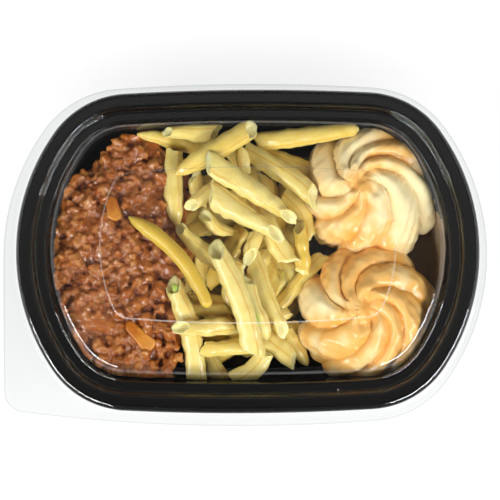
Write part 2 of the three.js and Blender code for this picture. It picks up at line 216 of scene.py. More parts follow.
def quarter(outline):
    """Points of one quarter, from the middle of its end to just before the middle of its side."""
    end, corner, side = outline.corner()
    end_angle = math.atan2(*(corner - end)[::-1])
    side_angle = math.atan2(*(corner - side)[::-1])
    arcs = (
        (end, outline.end_radius, 0.0, end_angle, POINTS_END),
        (corner, outline.corner_radius, end_angle, side_angle, POINTS_CORNER),
        (side, outline.side_radius, side_angle, math.pi / 2, POINTS_SIDE),
    )
    points = []
    for centre, radius, first, last, count in arcs:
        angles = np.linspace(first, last, count, endpoint=False)
        points.append(centre + radius * np.stack([np.cos(angles), np.sin(angles)], axis=1))
    return np.concatenate(points)


def ring(outline, z, front_left=None, shift=(0.0, 0.0)):
    """A closed outline at one height, its front left quarter drawn to another outline if one is given."""
    right = quarter(outline)
    left = quarter(front_left or outline)
    turned_back = np.concatenate([[[0.0, outline.half_width]], right[:0:-1]])
    plan = np.concatenate([right, turned_back * (-1, 1), -left, turned_back * (1, -1)]) + shift
    return np.column_stack([plan, np.full(len(plan), z)])


def rim_offset(points):
    """How far points lie outside the rim's outline, and the outward direction there."""
    end, corner, side = RIM.corner()
    folded = np.abs(points[:, :2])
    sign = np.where(points[:, :2] < 0, -1.0, 1.0)
    to_end = corner - end
    to_side = corner - side
    centre = np.tile(corner, (len(points), 1))
    radius = np.full(len(points), RIM.corner_radius)
    by_end = to_end[0] * (folded - end)[:, 1] < to_end[1] * (folded - end)[:, 0]
    by_side = to_side[0] * (folded - side)[:, 1] > to_side[1] * (folded - side)[:, 0]
    centre[by_end], radius[by_end] = end, RIM.end_radius
    centre[by_side], radius[by_side] = side, RIM.side_radius
    away = folded - centre
    distance = np.linalg.norm(away, axis=1)
    return distance - radius, sign * away / np.maximum(distance, 1e-6)[:, None]


def rounded(profile, radius, steps=5):
    """A wall profile with each inner corner bridged by a short curve, and its flats held flat beside it.
    One radius serves all corners, or each has its own."""
    points = [np.array(p, float) for p in profile]
    bent = [points[0]]
    radii = np.broadcast_to(radius, len(points) - 2)
    for before, corner, after, radius in zip(points, points[1:], points[2:], radii):
        ends, holds = [], []
        for other in (before, after):
            gap = np.linalg.norm(other - corner)
            ends.append(corner + (other - corner) * min(radius / gap, BEND_SHARE))
            holds.append(corner + (other - corner) * min((radius + HOLD_GAP) / gap, HOLD_SHARE))
        bent.append(holds[0])
        for t in np.linspace(0, 1, steps):
            bent.append((1 - t) ** 2 * ends[0] + 2 * t * (1 - t) * corner + t**2 * ends[1])
        bent.append(holds[1])
    bent.append(points[-1])
    return np.array(bent)


def parallel(profile, distance):
    """A wall profile moved sideways by one distance, to the right of its way for a positive one."""
    way = np.diff(profile, axis=0)
    way /= np.linalg.norm(way, axis=1)[:, None]
    normal = np.column_stack([way[:, 1], -way[:, 0]])
    before = np.concatenate([normal[:1], normal])
    after = np.concatenate([normal, normal[-1:]])
    mitre = 1 + np.sum(before * after, axis=1)
    return profile + (before + after) * (distance / mitre)[:, None]


def tray_profile(pack):
    """The tray's food side from the floor's edge out to the lip: distances from the rim and heights."""
    ledge = pack.rim_height - pack.ledge_drop
    ledge_end = -(pack.rim_width + STEP_RUN + pack.ledge_width)
    wall_top = np.array([ledge_end - EDGE_ROUND, ledge - EDGE_ROUND])
    fillet_top = pack.tray_wall + FLOOR_FILLET * (1 - math.sin(WALL_DRAFT))
    wall_foot = wall_top[0] - (wall_top[1] - fillet_top) * math.tan(WALL_DRAFT)
    centre = np.array([wall_foot - FLOOR_FILLET * math.cos(WALL_DRAFT), pack.tray_wall + FLOOR_FILLET])
    angles = np.linspace(-math.pi / 2, -WALL_DRAFT, FILLET_POINTS)
    fillet = centre + FLOOR_FILLET * np.column_stack([np.cos(angles), np.sin(angles)])
    upper = rounded(
        [
            fillet[-1],
            wall_top,
            (ledge_end, ledge),
            (-(pack.rim_width + STEP_RUN), ledge),
            (-(pack.rim_width + EDGE_ROUND), pack.rim_height - EDGE_ROUND),
            (-pack.rim_width, pack.rim_height),
            (-RIM_EDGE, pack.rim_height),
            (0, pack.rim_height - RIM_EDGE),
            (0, pack.rim_height - LIP_DROP),
        ],
        BEND,
    )
    return np.concatenate([fillet, upper[1:]])


def lid_profile(pack):
    """The lid's underside from its shoulder's top out to its skirt, fitted over the tray with a gap."""
    ledge = pack.rim_height - pack.ledge_drop + pack.fit_gap
    cover = pack.rim_height + pack.fit_gap
    step_foot = -(pack.rim_width + STEP_RUN + 2 * pack.fit_gap)
    wall_foot = step_foot - pack.ledge_width + pack.lid_wall
    wall_top = wall_foot - DOME_WALL_RUN
    skirt = pack.rim_height - SKIRT_DROP
    return np.array(
        [
            (wall_top - SHOULDER_RUN, SHOULDER_TOP),
            (wall_top - SHOULDER_RUN * SHOULDER_BULGE, (SHOULDER_TOP + DOME_WALL_TOP) / 2 + EDGE_ROUND),
            (wall_top, DOME_WALL_TOP),
            (wall_foot - EDGE_ROUND, ledge + EDGE_ROUND),
            (wall_foot, ledge),
            (step_foot, ledge),
            (step_foot + STEP_RUN * STEP_SLANT, cover - EDGE_ROUND),
            (step_foot + STEP_RUN, cover),
            (pack.fit_gap - LID_EDGE, cover),
            (pack.fit_gap, cover - LID_EDGE),
            (pack.fit_gap, skirt + EDGE_ROUND),
            (pack.fit_gap + EDGE_ROUND, skirt),
        ]
    )


def keep_in_tray(points, pack, gap=0.3):
    """Points moved in from the tray's wall and up from its floor, so that food never pokes through."""
    profile = tray_profile(pack)
    points[:, 2] = np.maximum(points[:, 2], pack.tray_wall + gap)
    inner = profile[: np.argmax(profile[:, 1] > pack.rim_height - pack.ledge_drop - 0.01)]
    limit = np.interp(points[:, 2], inner[:, 1], inner[:, 0]) - gap
    offset, outward = rim_offset(points)
    points[:, :2] -= outward * np.maximum(offset - limit, 0)[:, None]
    return points


def loft(rings):
    """Points and faces of a solid through rings of equal counts, closed by a fan at both ends."""
    count = len(rings[0])
    points = np.concatenate([*rings, [np.mean(rings[0], axis=0)], [np.mean(rings[-1], axis=0)]])
    low = np.arange(count)
    high = np.roll(low, -1)
    faces = []
    for start in range(0, count * (len(rings) - 1), count):
        quads = np.column_stack([low, high, high + count, low + count]) + start
        faces.extend(quads.tolist())
    last = count * (len(rings) - 1)
    faces.extend([[last + count, b, a] for a, b in zip(low, high)])
    faces.extend([[last + count + 1, last + a, last + b] for a, b in zip(low, high)])
    return points, faces


def joined(solids):
    """Points and faces of several solids as one set."""
    points, faces, start = [], [], 0
    for some_points, some_faces in solids:
        points.append(some_points)
        faces.extend([[i + start for i in face] for face in some_faces])
        start += len(some_points)
    return np.concatenate(points), faces


def unit_ball(fineness=2):
    """Points and faces of a small round ball."""
    ball = bmesh.new()
    bmesh.ops.create_icosphere(ball, subdivisions=fineness, radius=1.0)
    points = np.array([v.co for v in ball.verts])
    faces = [[v.index for v in f.verts] for f in ball.faces]
    ball.free()
    return points, faces


def add_piece(name, points, faces, material, slot, *nodes):
    """A smooth mesh piece from millimetres, riding on the meal's one body and standing for its nodes."""
    mesh = bpy.data.meshes.new(name)
    mesh.from_pydata((np.asarray(points) * MM).tolist(), [], faces)
    mesh.shade_smooth()
    mesh.materials.append(material)
    piece = bpy.data.objects.new(name, mesh)
    bpy.context.scene.collection.objects.link(piece)
    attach(piece, BODY)
    if nodes:
        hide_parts(*nodes)
    return piece


def mark(piece, name, values):
    """Stores one number, or four as a colour, for each point of a piece."""
    values = np.asarray(values, np.float32)
    kind, field = ("FLOAT", "value") if values.ndim == 1 else ("FLOAT_COLOR", "color")
    piece.data.attributes.new(name, kind, "POINT").data.foreach_set(field, values.ravel())


NOISE_WAVES = 14
NOISE_PITCH = 2.6
NOISE_SPREAD = 3.2
GOLDEN_ANGLE = math.pi * (3 - math.sqrt(5))


def soft_noise(points, scale, seed):
    """A smooth random field over points, about -1 to 1, with bumps about scale millimetres wide."""
    rng = np.random.default_rng(seed)
    waves = rng.normal(size=(NOISE_WAVES, 3)) * (NOISE_PITCH / scale)
    phases = rng.uniform(0, 2 * math.pi, NOISE_WAVES)
    return np.sin(points @ waves.T + phases).sum(axis=1) / NOISE_SPREAD


def beside(angle, direction, spread):
    """How near an angle is to a direction: 1 along it, falling to nothing over its spread."""
    off = (angle - direction + math.pi) % (2 * math.pi) - math.pi
    return np.exp(-((off / spread) ** 2))


def add_node(tree, kind, values, output=0):
    """Adds one node and gives one of its outputs. Each value sets a socket or a property, or feeds a socket
    if it is another node's output; colours are three linear values."""
    node = tree.nodes.new("ShaderNode" + kind)
    for key, value in values.items():
        if isinstance(key, str) and key not in node.inputs:
            setattr(node, key, value)
        elif isinstance(value, bpy.types.NodeSocket):
            tree.links.new(value, node.inputs[key])
        elif node.inputs[key].type == "RGBA":
            node.inputs[key].default_value = (*value, 1.0)
        else:
            node.inputs[key].default_value = value
    return node.outputs[output] if node.outputs else None


# Settings and sockets of a Mix node for colours
COLOURS = {"data_type": "RGBA"}
SOFT_LIGHT = {"data_type": "RGBA", "blend_type": "SOFT_LIGHT"}
FACTOR, A, B, MIXED = 0, 6, 7, 2
WHITE = linear("#ffffff")


def new_material(name):
    """An empty node material, the helper that adds nodes to it, and its object coordinates."""
    material = bpy.data.materials.new(name)
    material.use_nodes = True
    material.node_tree.nodes.clear()
    add = partial(add_node, material.node_tree)
    return material, add, add("TexCoord", {}, "Object")


def per_metre(width_mm):
    """The texture scale that gives bumps of one width in millimetres."""
    return 1000.0 / width_mm


def black_polypropylene(pack):
    """Black polypropylene sheet, vacuum formed: glossy, with faint waves from the mould and a little dust."""
    material, add, coords = new_material("black_polypropylene_formed")
    dust = add("TexVoronoi", {"Vector": coords, "Scale": per_metre(24), "Randomness": 1.0}, "Distance")
    speck = add(
        "MapRange", {"Value": dust, "From Min": 0.012, "From Max": 0.02, "To Min": 0.7, "To Max": 0.0}
    )
    waves = add("TexNoise", {"Vector": coords, "Scale": per_metre(14), "Detail": 2.0}, "Fac")
    bump = add("Bump", {"Height": waves, "Strength": 0.012, "Distance": 0.6 * MM})
    rough = add("MapRange", {"Value": waves, "To Min": 0.06, "To Max": 0.13})
    dusty = add("Mix", {**COLOURS, FACTOR: speck, A: pack.tray_colour, B: pack.dust}, MIXED)
    shader = add("BsdfPrincipled", {"Base Color": dusty, "Roughness": rough, "IOR": 1.49, "Normal": bump})
    add("OutputMaterial", {"Surface": shader})
    return material


def clear_pet(pack):
    """Clear PET sheet, vacuum formed and half a millimetre thin: it shows what is behind it unbent, and
    mirrors the lights weakly where it is seen square on and strongly where it is seen along its surface. Its
    cut edge and its slants let less through, a painted shade. The sheet is stretched along the edge of its
    raised panel, and a little milky there: partly whitening, partly a painted highlight line."""
    material, add, coords = new_material("clear_pet_formed")
    waves = add("TexNoise", {"Vector": coords, "Scale": per_metre(18), "Detail": 1.0}, "Fac")
    bump = add("Bump", {"Height": waves, "Strength": 0.015, "Distance": 0.5 * MM})
    facing = add("LayerWeight", {"Blend": 0.5, "Normal": bump}, "Facing")
    grazing = add("Math", {"operation": "POWER", 0: facing, 1: 5.0})
    mirrored = add("MapRange", {"Value": grazing, "To Min": 0.04, "To Max": 1.0})
    # The cut edge's rings and the sheet on the slant let less through: painted shade, standing for the dark
    # line that bent light gives a clear sheet's edge
    cut = add("Attribute", {"attribute_name": "cut_edge"}, "Fac")
    slant_and_edge_shade = add("Math", {"operation": "MAXIMUM", 0: grazing, 1: cut})
    tint = add("Mix", {**COLOURS, FACTOR: slant_and_edge_shade, A: pack.lid_tint, B: pack.lid_edge_shade}, MIXED)
    clear = add("BsdfTransparent", {"Color": tint})
    gloss = add("BsdfAnisotropic", {"Color": WHITE, "Roughness": 0.02, "Normal": bump})
    sheet = add("MixShader", {0: mirrored, 1: clear, 2: gloss})
    # Along the raised panel's edge the sheet turns milky white: partly stretched sheet, partly a painted
    # highlight line where the bend mirrors the lamps
    crease = add("Attribute", {"attribute_name": "crease"}, "Fac")
    milky_and_sheen = add("Math", {"operation": "MULTIPLY", 0: crease, 1: 0.22})
    haze_and_sheen = add("BsdfDiffuse", {"Color": pack.lid_haze_and_sheen})
    shader = add("MixShader", {0: milky_and_sheen, 1: sheet, 2: haze_and_sheen})
    add("OutputMaterial", {"Surface": shader})
    return material


def wax_bean_skin(food):
    """Cooked wax bean: thin moist skin over pale flesh, mottled, with a deeper line along the seam."""
    material, add, coords = new_material("wax_bean_cooked")
    marks = add("VertexColor", {"layer_name": "marks"}, "Color")
    seed_mark = marks.node.outputs["Alpha"]
    tone_mark, seam_mark, flesh_mark = add("SeparateColor", {"Color": marks}).node.outputs
    mottle = add("TexNoise", {"Vector": coords, "Scale": per_metre(5), "Detail": 3.0}, "Fac")
    fibres = add("Attribute", {"attribute_name": "fibres"}, "Vector")
    streaks = add("TexNoise", {"Vector": fibres, "Scale": 1 / FIBRE_WIDTH, "Detail": 3.0}, "Fac")
    blotches = add("Math", {"operation": "MULTIPLY_ADD", 0: mottle, 1: 0.8, 2: tone_mark})
    streaked = add("Math", {"operation": "MULTIPLY_ADD", 0: streaks, 1: 0.7, 2: blotches})
    tone = add("Math", {"operation": "SUBTRACT", "use_clamp": True, 0: streaked, 1: 0.75})
    skin = add("Mix", {**COLOURS, FACTOR: tone, A: food.bean_pale, B: food.bean_deep}, MIXED)
    seamed = add("Mix", {**COLOURS, FACTOR: seam_mark, A: skin, B: food.bean_seam}, MIXED)
    cut = add("Mix", {**COLOURS, FACTOR: flesh_mark, A: seamed, B: food.bean_flesh}, MIXED)
    seeded = add("Mix", {**COLOURS, FACTOR: seed_mark, A: cut, B: food.bean_seed}, MIXED)
    bump = add("Bump", {"Height": streaks, "Strength": 0.25, "Distance": 0.5 * MM})
    rough = add("MapRange", {"Value": mottle, "From Min": 0.3, "From Max": 0.7, "To Min": 0.2, "To Max": 0.4})
    wet = add("MapRange", {"Value": mottle, "From Min": 0.42, "From Max": 0.58, "To Min": 0.1, "To Max": 1.0})
    film = add("Bump", {"Height": mottle, "Strength": 0.3, "Distance": 0.5 * MM})
    shader = add(
        "BsdfPrincipled",
        {
            "Base Color": seeded,
            "Roughness": rough,
            "IOR": 1.4,
            "Subsurface Weight": 0.5,
            "Subsurface Radius": (1.0, 0.8, 0.35),
            "Subsurface Scale": 2.5 * MM,
            "Normal": bump,
            "Coat Weight": wet,
            "Coat Roughness": 0.06,
            "Coat IOR": 1.38,
            "Coat Normal": film,
        },
    )
    add("OutputMaterial", {"Surface": shader})
    return material


def minced_meat(food):
    """Fried mince in brown sauce: wet crumbs, tan on their tops and dark where sauce lies between them. The
    tan tops are partly painted light, and the dark hollows partly painted shade.
    """
    material, add, coords = new_material("minced_meat_in_sauce")
    # Height above the surroundings: low places take the dark sauce colour as painted shade, high bare crumbs
    # the light colour as painted light
    crest = add("Attribute", {"attribute_name": "crest"}, "Fac")
    paleness = add("Attribute", {"attribute_name": "paleness"}, "Fac")
    fine = add("TexNoise", {"Vector": coords, "Scale": per_metre(1.1), "Detail": 3.0}, "Fac")
    soft = add("TexNoise", {"Vector": coords, "Scale": per_metre(3), "Detail": 2.0}, "Fac")
    patches = add("TexNoise", {"Vector": coords, "Scale": per_metre(16), "Detail": 2.0}, "Fac")
    sauce = add("Mix", {**COLOURS, FACTOR: crest, A: food.meat_dark_and_shade, B: food.meat_mid}, MIXED)
    varied = add("Math", {"operation": "MULTIPLY_ADD", 0: soft, 1: 1.2, 2: paleness})
    bare = add("MapRange", {"Value": varied, "From Min": 0.9, "From Max": 1.7, "To Max": 0.8})
    lit_tops = add("Math", {"operation": "MULTIPLY", 0: bare, 1: crest})
    coated = add("Mix", {**COLOURS, FACTOR: lit_tops, A: sauce, B: food.meat_bare_and_lit}, MIXED)
    mottled = add("Mix", {**SOFT_LIGHT, FACTOR: 0.6, A: coated, B: fine}, MIXED)
    shaded = add("Mix", {**SOFT_LIGHT, FACTOR: 0.35, A: mottled, B: patches}, MIXED)
    grain = add("Bump", {"Height": fine, "Strength": 0.6, "Distance": 0.5 * MM})
    film = add("Bump", {"Height": soft, "Strength": 0.4, "Distance": 0.6 * MM})
    wet = add("MapRange", {"Value": soft, "From Min": 0.35, "From Max": 0.6, "To Min": 0.3, "To Max": 1.0})
    shader = add(
        "BsdfPrincipled",
        {
            "Base Color": shaded,
            "Roughness": 0.35,
            "IOR": 1.4,
            "Normal": grain,
            "Coat Weight": wet,
            "Coat Roughness": 0.08,
            "Coat IOR": 1.47,
            "Coat Normal": film,
        },
    )
    add("OutputMaterial", {"Surface": shader})
    return material


def cooked_carrot(food):
    """Cooked carrot slice: soft orange flesh with fine fibres, under sauce towards one end and its edges."""
    material, add, coords = new_material("carrot_cooked")
    film = add("TexNoise", {"Vector": coords, "Scale": per_metre(4), "Detail": 4.0}, "Fac")
    fibres = add("TexNoise", {"Vector": coords, "Scale": per_metre(1.0), "Detail": 3.0}, "Fac")
    sauce = add("Attribute", {"attribute_name": "sauce"}, "Fac")
    spread = add("Math", {"operation": "ADD", 0: film, 1: sauce})
    covered = add("MapRange", {"Value": spread, "From Min": 0.4, "From Max": 0.68, "To Max": 0.95})
    filmed = add("Mix", {**COLOURS, FACTOR: covered, A: food.carrot, B: food.meat_mid}, MIXED)
    fibrous = add("Mix", {**SOFT_LIGHT, FACTOR: 0.5, A: filmed, B: fibres}, MIXED)
    bump = add("Bump", {"Height": fibres, "Strength": 0.5, "Distance": 0.5 * MM})
    shader = add("BsdfPrincipled", {"Base Color": fibrous, "Roughness": 0.3, "IOR": 1.4, "Normal": bump})
    add("OutputMaterial", {"Surface": shader})
    return material


def piped_mash(food):
    """Piped mashed potato under gravy: smooth dull cream, with glossy amber gravy thickest in the grooves."""
    material, add, coords = new_material("mashed_potato_with_gravy")
    gravy = add("Attribute", {"attribute_name": "gravy"}, "Fac")
    grain = add("TexNoise", {"Vector": coords, "Scale": per_metre(1.5), "Detail": 3.0}, "Fac")
    film = add("MapRange", {"Value": gravy, "From Max": 0.45})
    pool = add("MapRange", {"Value": gravy, "From Min": 0.4, "From Max": 1.0})
    filmed = add("Mix", {**COLOURS, FACTOR: film, A: food.mash, B: food.gravy_thin}, MIXED)
    covered = add("Mix", {**COLOURS, FACTOR: pool, A: filmed, B: food.gravy_deep}, MIXED)
    rough = add(
        "MapRange", {"Value": gravy, "From Min": 0.15, "From Max": 0.5, "To Min": 0.5, "To Max": 0.16}
    )
    bump = add("Bump", {"Height": grain, "Strength": 0.18, "Distance": 0.4 * MM})
    shader = add(
        "BsdfPrincipled",
        {
            "Base Color": covered,
            "Roughness": rough,
            "IOR": 1.4,
            "Subsurface Weight": 0.15,
            "Subsurface Radius": (1.0, 0.85, 0.6),
            "Subsurface Scale": 1.5 * MM,
            "Normal": bump,
        },
    )
    add("OutputMaterial", {"Surface": shader})
    return material


def meat_gravy(food):
    """Meat gravy in a thin film on black plastic: glossy and dark, brown where it lies thicker. Its colour is
    paler and greyer than gravy alone, a painted reflection of the lid's haze.
    """
    material, add, coords = new_material("meat_gravy_film")
    thick = add("TexNoise", {"Vector": coords, "Scale": per_metre(12), "Detail": 3.0}, "Fac")
    brown = add("Mix", {**SOFT_LIGHT, FACTOR: 0.6, A: food.gravy_film_and_haze, B: thick}, MIXED)
    shader = add("BsdfPrincipled", {"Base Color": brown, "Roughness": 0.12, "IOR": 1.38})
    add("OutputMaterial", {"Surface": shader})
    return material


def opal_acrylic():
    """Opal acrylic sheet lit from below: an even white glow with a faint grain, where shadows are faint."""
    material, add, coords = new_material("opal_acrylic_lit")
    grain = add("TexNoise", {"Vector": coords, "Scale": per_metre(40), "Detail": 2.0}, "Fac")
    grey = add("Mix", {**COLOURS, FACTOR: grain, A: linear("#737373"), B: linear("#7c7c7c")}, MIXED)
    shader = add(
        "BsdfPrincipled",
        {
            "Base Color": grey,
            "Roughness": 0.9,
            "Specular IOR Level": 0.1,
            "Emission Color": WHITE,
            "Emission Strength": 0.84,
        },
    )
    add("OutputMaterial", {"Surface": shader})
    return material


class TRAYMEAL_OT_tray(bpy.types.Operator):
    """Makes the black tray"""

    bl_idname = "traymeal.tray"
    bl_label = "Tray"

    def execute(self, context):
        pack = context.scene.tray_meal_pack
        inside = tray_profile(pack)
        floor_edge = inside[:1] - (1.0, 0.0)
        inside = np.concatenate([floor_edge, inside])
        outside = parallel(inside, pack.tray_wall)
        rings = [ring(RIM.moved(d), z) for d, z in np.concatenate([outside, inside[::-1]])]
        points, faces = loft(rings)
        piece = add_piece("tray_formed", points, faces, black_polypropylene(pack), "black_plastic", "tray")
        piece.data.set_sharp_from_angle(angle=TRAY_SHARP)
        return {"FINISHED"}


class TRAYMEAL_OT_lid(bpy.types.Operator):
    """Makes the clear lid"""

    bl_idname = "traymeal.lid"
    bl_label = "Lid"

    def side(self, pack, lift):
        """Rings of the lid's underside, or of its top for a lift of the wall's thickness."""
        profile = lid_profile(pack)
        if lift:
            profile = parallel(profile, -lift)
        bends = np.full(len(profile) - 2, BEND)
        bends[:2] = DOME_BEND
        profile = rounded(profile, bends)
        low = pack.rim_height - SKIRT_DROP + lift
        top = pack.panel_height + lift
        step = [ring(PANEL.moved(d), top + h) for d, h in PANEL_EDGE]
        flange = [ring(FLANGE.moved(d), low, FLANGE_TAB.moved(d), FLANGE_SHIFT) for d in FLANGE_INSETS]
        return [*step, *(ring(RIM.moved(d), z) for d, z in profile), *flange]

    def execute(self, context):
        pack = context.scene.tray_meal_pack
        under = self.side(pack, 0.0)
        rings = [*under, *self.side(pack, pack.lid_wall)[::-1]]
        points, faces = loft(rings)
        piece = add_piece("lid_clear", points, faces, clear_pet(pack), "clear_plastic", "lid")
        count = len(under[0])
        edge = len(under) * count
        # Rings beside the cut edge, which get the painted shade
        cut = np.zeros(len(points))
        cut[edge - SHADED_EDGE_RINGS * count : edge + SHADED_EDGE_RINGS * count] = 1.0
        mark(piece, "cut_edge", cut)
        # Rings along the raised panel's edge, made milky: partly a painted highlight line
        crease = np.zeros(len(points))
        inner, outer = MILKY_SHEEN_RINGS
        crease[2 * edge - outer * count : 2 * edge - inner * count] = 1.0
        mark(piece, "crease", crease)
        piece.data.set_sharp_from_angle(angle=LID_SHARP)
        return {"FINISHED"}


class Bean(NamedTuple):
    """A cut bean from start to finish in millimetres, bowed sideways, with how each end looks."""

    start: tuple
    finish: tuple
    width: float
    bow: float = 0.0
    ends: tuple = ("cut", "cut")
    tone: float = 0.4
    seed: str = ""


BEANS = (
    Bean((-53, 58, 23), (-19, 51, 20), 8.8, 1, ("tip", "cut"), 0.6),
    Bean((-38, 57.5, 28), (-15, 58.5, 27), 8.2, 0, ("open", "cut"), 0.3),
    Bean((-34, 37, 31), (2, 58, 33), 10.4, 1, ("tip", "open"), 0.6),
    Bean((-35, 50, 23), (-33, 13, 22), 9.4, -2, ("cut", "tip"), 0.3),
    Bean((-18, 42, 35), (20, 16, 34), 10.4, 0, ("cut", "open"), 0.2),
    Bean((-27, 23, 28), (-11, 34, 29), 7.2, 0, ("open", "cut"), 0.3),
    Bean((0, 50, 25), (31, 26, 30), 10.2, 1, ("cut", "cut"), 0.4),
    Bean((4, 55, 20), (50, 58.3, 29.5), 9.0, -1, ("cut", "stem"), 0.6),
    Bean((7, 50, 16), (37, 38, 20), 8.6, -1, ("cut", "cut"), 0.5),
    Bean((-17, 28, 30), (13, 7, 33), 10.4, 0, ("cut", "open"), 0.2),
    Bean((4, 26, 25), (20, -4, 29), 9.4, -2, ("cut", "cut"), 0.3),
    Bean((-38, 14, 18), (-14, 23, 19), 7.6, 0, ("cut", "cut"), 0.5),
    Bean((-32, 11, 28), (-2, -8, 27), 8.8, -4, ("open", "cut"), 0.3),
    Bean((-14, 0, 35), (2, -49, 29), 10.6, 2, ("open", "cut"), 0.1),
    Bean((5, 11, 27), (1, -3, 29), 9.0, 0, ("cut", "open"), 0.3),
    Bean((2, -4, 26), (17, -37, 25), 8.8, -1, ("cut", "open"), 0.3),
    Bean((0, -14, 31), (9, -42, 27), 9.6, -2, ("cut", "tip"), 0.2, "side"),
    Bean((14, -25, 18), (36, -1, 21), 7.2, 0, ("cut", "cut"), 0.5),
    Bean((25, 12, 23), (26, -9, 21), 8.2, 0, ("open", "cut"), 0.8),
    Bean((-56, 17, 32), (-20, -25, 37), 7.6, 4.5, ("tip", "round"), 1.0),
    Bean((-35, -16, 29), (-25, -62, 21), 9.6, 2, ("open", "cut"), 0.2, "end"),
    Bean((-29, -27, 23), (-10, -26, 20), 5.4, 0, ("cut", "cut"), 0.5),
    Bean((-32, -36, 30), (-8, -35, 24), 8.8, -1, ("open", "cut"), 0.3),
    Bean((-22, -45, 24), (0, -44, 20), 7.4, -1, ("cut", "cut"), 0.5),
    Bean((-20, -46, 16), (-12, -62, 14), 8.0, 0, ("cut", "cut"), 0.4),
    Bean((7, -48, 23), (-7, -62, 19), 9.4, 2, ("cut", "cut"), 0.1),
    Bean((0, -32, 20), (21, -51, 17), 9.6, 0, ("cut", "cut"), 0.3),
    Bean((17, -34, 16), (28, -53, 10), 7.6, 0, ("cut", "tip"), 0.4),
    Bean((-22, 2, 20), (-23, -17, 16), 7.0, 0, ("cut", "cut"), 0.5),
    Bean((18, 30, 21), (30, 8, 18), 7.6, 2, ("cut", "cut"), 0.5),
    Bean((-3, 51, 27), (-1, 37, 25), 6.0, 0, ("tip", "cut"), 0.2),
    Bean((-25, 38, 23), (-23, 24, 22), 7.0, 0, ("cut", "cut"), 0.4),
    Bean((-20, 18, 23), (-8, 9, 22), 7.6, -1, ("open", "cut"), 0.4),
)
FIBRE_WIDTH = 0.9
FIBRE_LENGTH = 6.0
BEAN_SIDES = 20
BEAN_RINGS = 28
BEAN_FLATTEN = 0.88
SEED_SPACING = 8.5
BEAN_DRAWS = 41
SEAM_ANGLE = (0.2, 0.8)
SEAM_POINTS = (-0.16, -0.07, 0.0, 0.07, 0.16)
SEAM_CLEARANCE = 0.22
SEAM_LINE = 0.09
SEAM_GROOVE = 0.1
SEAM_DEPTH = 0.016
POD_NARROWING = (-0.14, 0.14)
POD_FLATTENING = (-0.1, 0.06)
POD_WAIST = (0.015, 0.055)
TIP_LENGTH = 1.9
TIP_MOST = 0.4
TIP_BLUNTNESS = 0.14
CUT_FADE = 1.1
CUT_RAGGED = 1.5
TONE_SPREAD = 0.08

# The heap's lower layers, with least and most sizes of their beans
HIDDEN_BEANS = 56
HIDDEN_HEAP = {"x": -4.0, "y": -2.0, "half_length": 27.2, "half_width": 47.04}
HIDDEN_HALF_LENGTH = (8, 14)
HIDDEN_WIDTH = (7.5, 9.5)
HIDDEN_TONE = (0.3, 0.8)
HIDDEN_TILT = (-2, 2)
HIDDEN_LOWEST = 6.5
HIDDEN_LAYER = 11.0

# Beans settle in small steps until they overlap by little, between the tray's floor and the lid
SETTLING_STEPS = 60
SETTLING_RATE = 0.25
TOUCHING = 0.86
LOWEST, HIGHEST = 1.4, 42.0


def hidden_beans(rng):
    """Beans of the heap's lower layers, which fill it under those that show."""
    rows = []
    for index in range(HIDDEN_BEANS):
        reach = math.sqrt((index + 0.5) / HIDDEN_BEANS)
        angle = index * GOLDEN_ANGLE
        x = HIDDEN_HEAP["x"] + HIDDEN_HEAP["half_length"] * reach * math.cos(angle)
        y = HIDDEN_HEAP["y"] + HIDDEN_HEAP["half_width"] * reach * math.sin(angle)
        turn = rng.uniform(0, math.pi)
        step = np.array([math.cos(turn), math.sin(turn)]) * rng.uniform(*HIDDEN_HALF_LENGTH)
        z = HIDDEN_LOWEST + HIDDEN_LAYER * (index % 3 != 0) * (1 - 0.5 * reach**3)
        ends = (x - step[0], y - step[1], z), (x + step[0], y + step[1], z + rng.uniform(*HIDDEN_TILT))
        rows.append(Bean(*ends, rng.uniform(*HIDDEN_WIDTH), tone=rng.uniform(*HIDDEN_TONE)))
    return rows


def settled(rows):
    """The beans with their ends raised or sunk until those that cross lie on each other."""
    shares = np.linspace(0.04, 0.96, 10)
    start = np.array([r.start for r in rows], float)
    finish = np.array([r.finish for r in rows], float)
    radius = np.array([r.width / 2 for r in rows])
    for _ in range(SETTLING_STEPS):
        line = start[:, None] * (1 - shares)[:, None] + finish[:, None] * shares[:, None]
        apart = line[:, None, :, None] - line[None, :, None, :]
        distance = np.linalg.norm(apart, axis=-1) + 1e-6
        need = TOUCHING * (radius[:, None] + radius[None])[:, :, None, None]
        push = np.maximum(need - distance, 0) * np.sign(apart[..., 2] + 1e-9) * SETTLING_RATE
        push[np.arange(len(rows)), np.arange(len(rows))] = 0
        up, down = push.max((1, 3)), push.min((1, 3))
        lift = np.where(up > -down, up, down)
        start[:, 2] += (lift * (1 - shares)).sum(1) / (1 - shares).sum()
        finish[:, 2] += (lift * shares).sum(1) / shares.sum()
        for ends in (start, finish):
            ends[:, 2] = np.clip(ends[:, 2], LOWEST + radius, HIGHEST - radius)
    return [r._replace(start=tuple(a), finish=tuple(b)) for r, a, b in zip(rows, start, finish)]


def cut_slope(kind, rng):
    """Direction round a bean and slope of its cut end; an open pod shows its inside upwards."""
    if kind in {"stem", "round"}:
        return 0.0, 0.0
    if kind == "open":
        return math.pi / 2 + rng.uniform(-0.6, 0.6), rng.uniform(0.6, 1.1)
    return rng.choice([0.2, math.pi - 0.2]) + rng.uniform(-0.4, 0.4), rng.uniform(0.35, 1.0)


# How much a pod shrinks across and upwards towards a cut end: an open one closes in, another lies flat
POD_SHRINKING = {"open": ((0.0, 0.35), (-0.05, 0.15)), "cut": ((-0.15, 0.1), (0.15, 0.5))}
LEAST_SHRINKING = (0.1, 0.1)


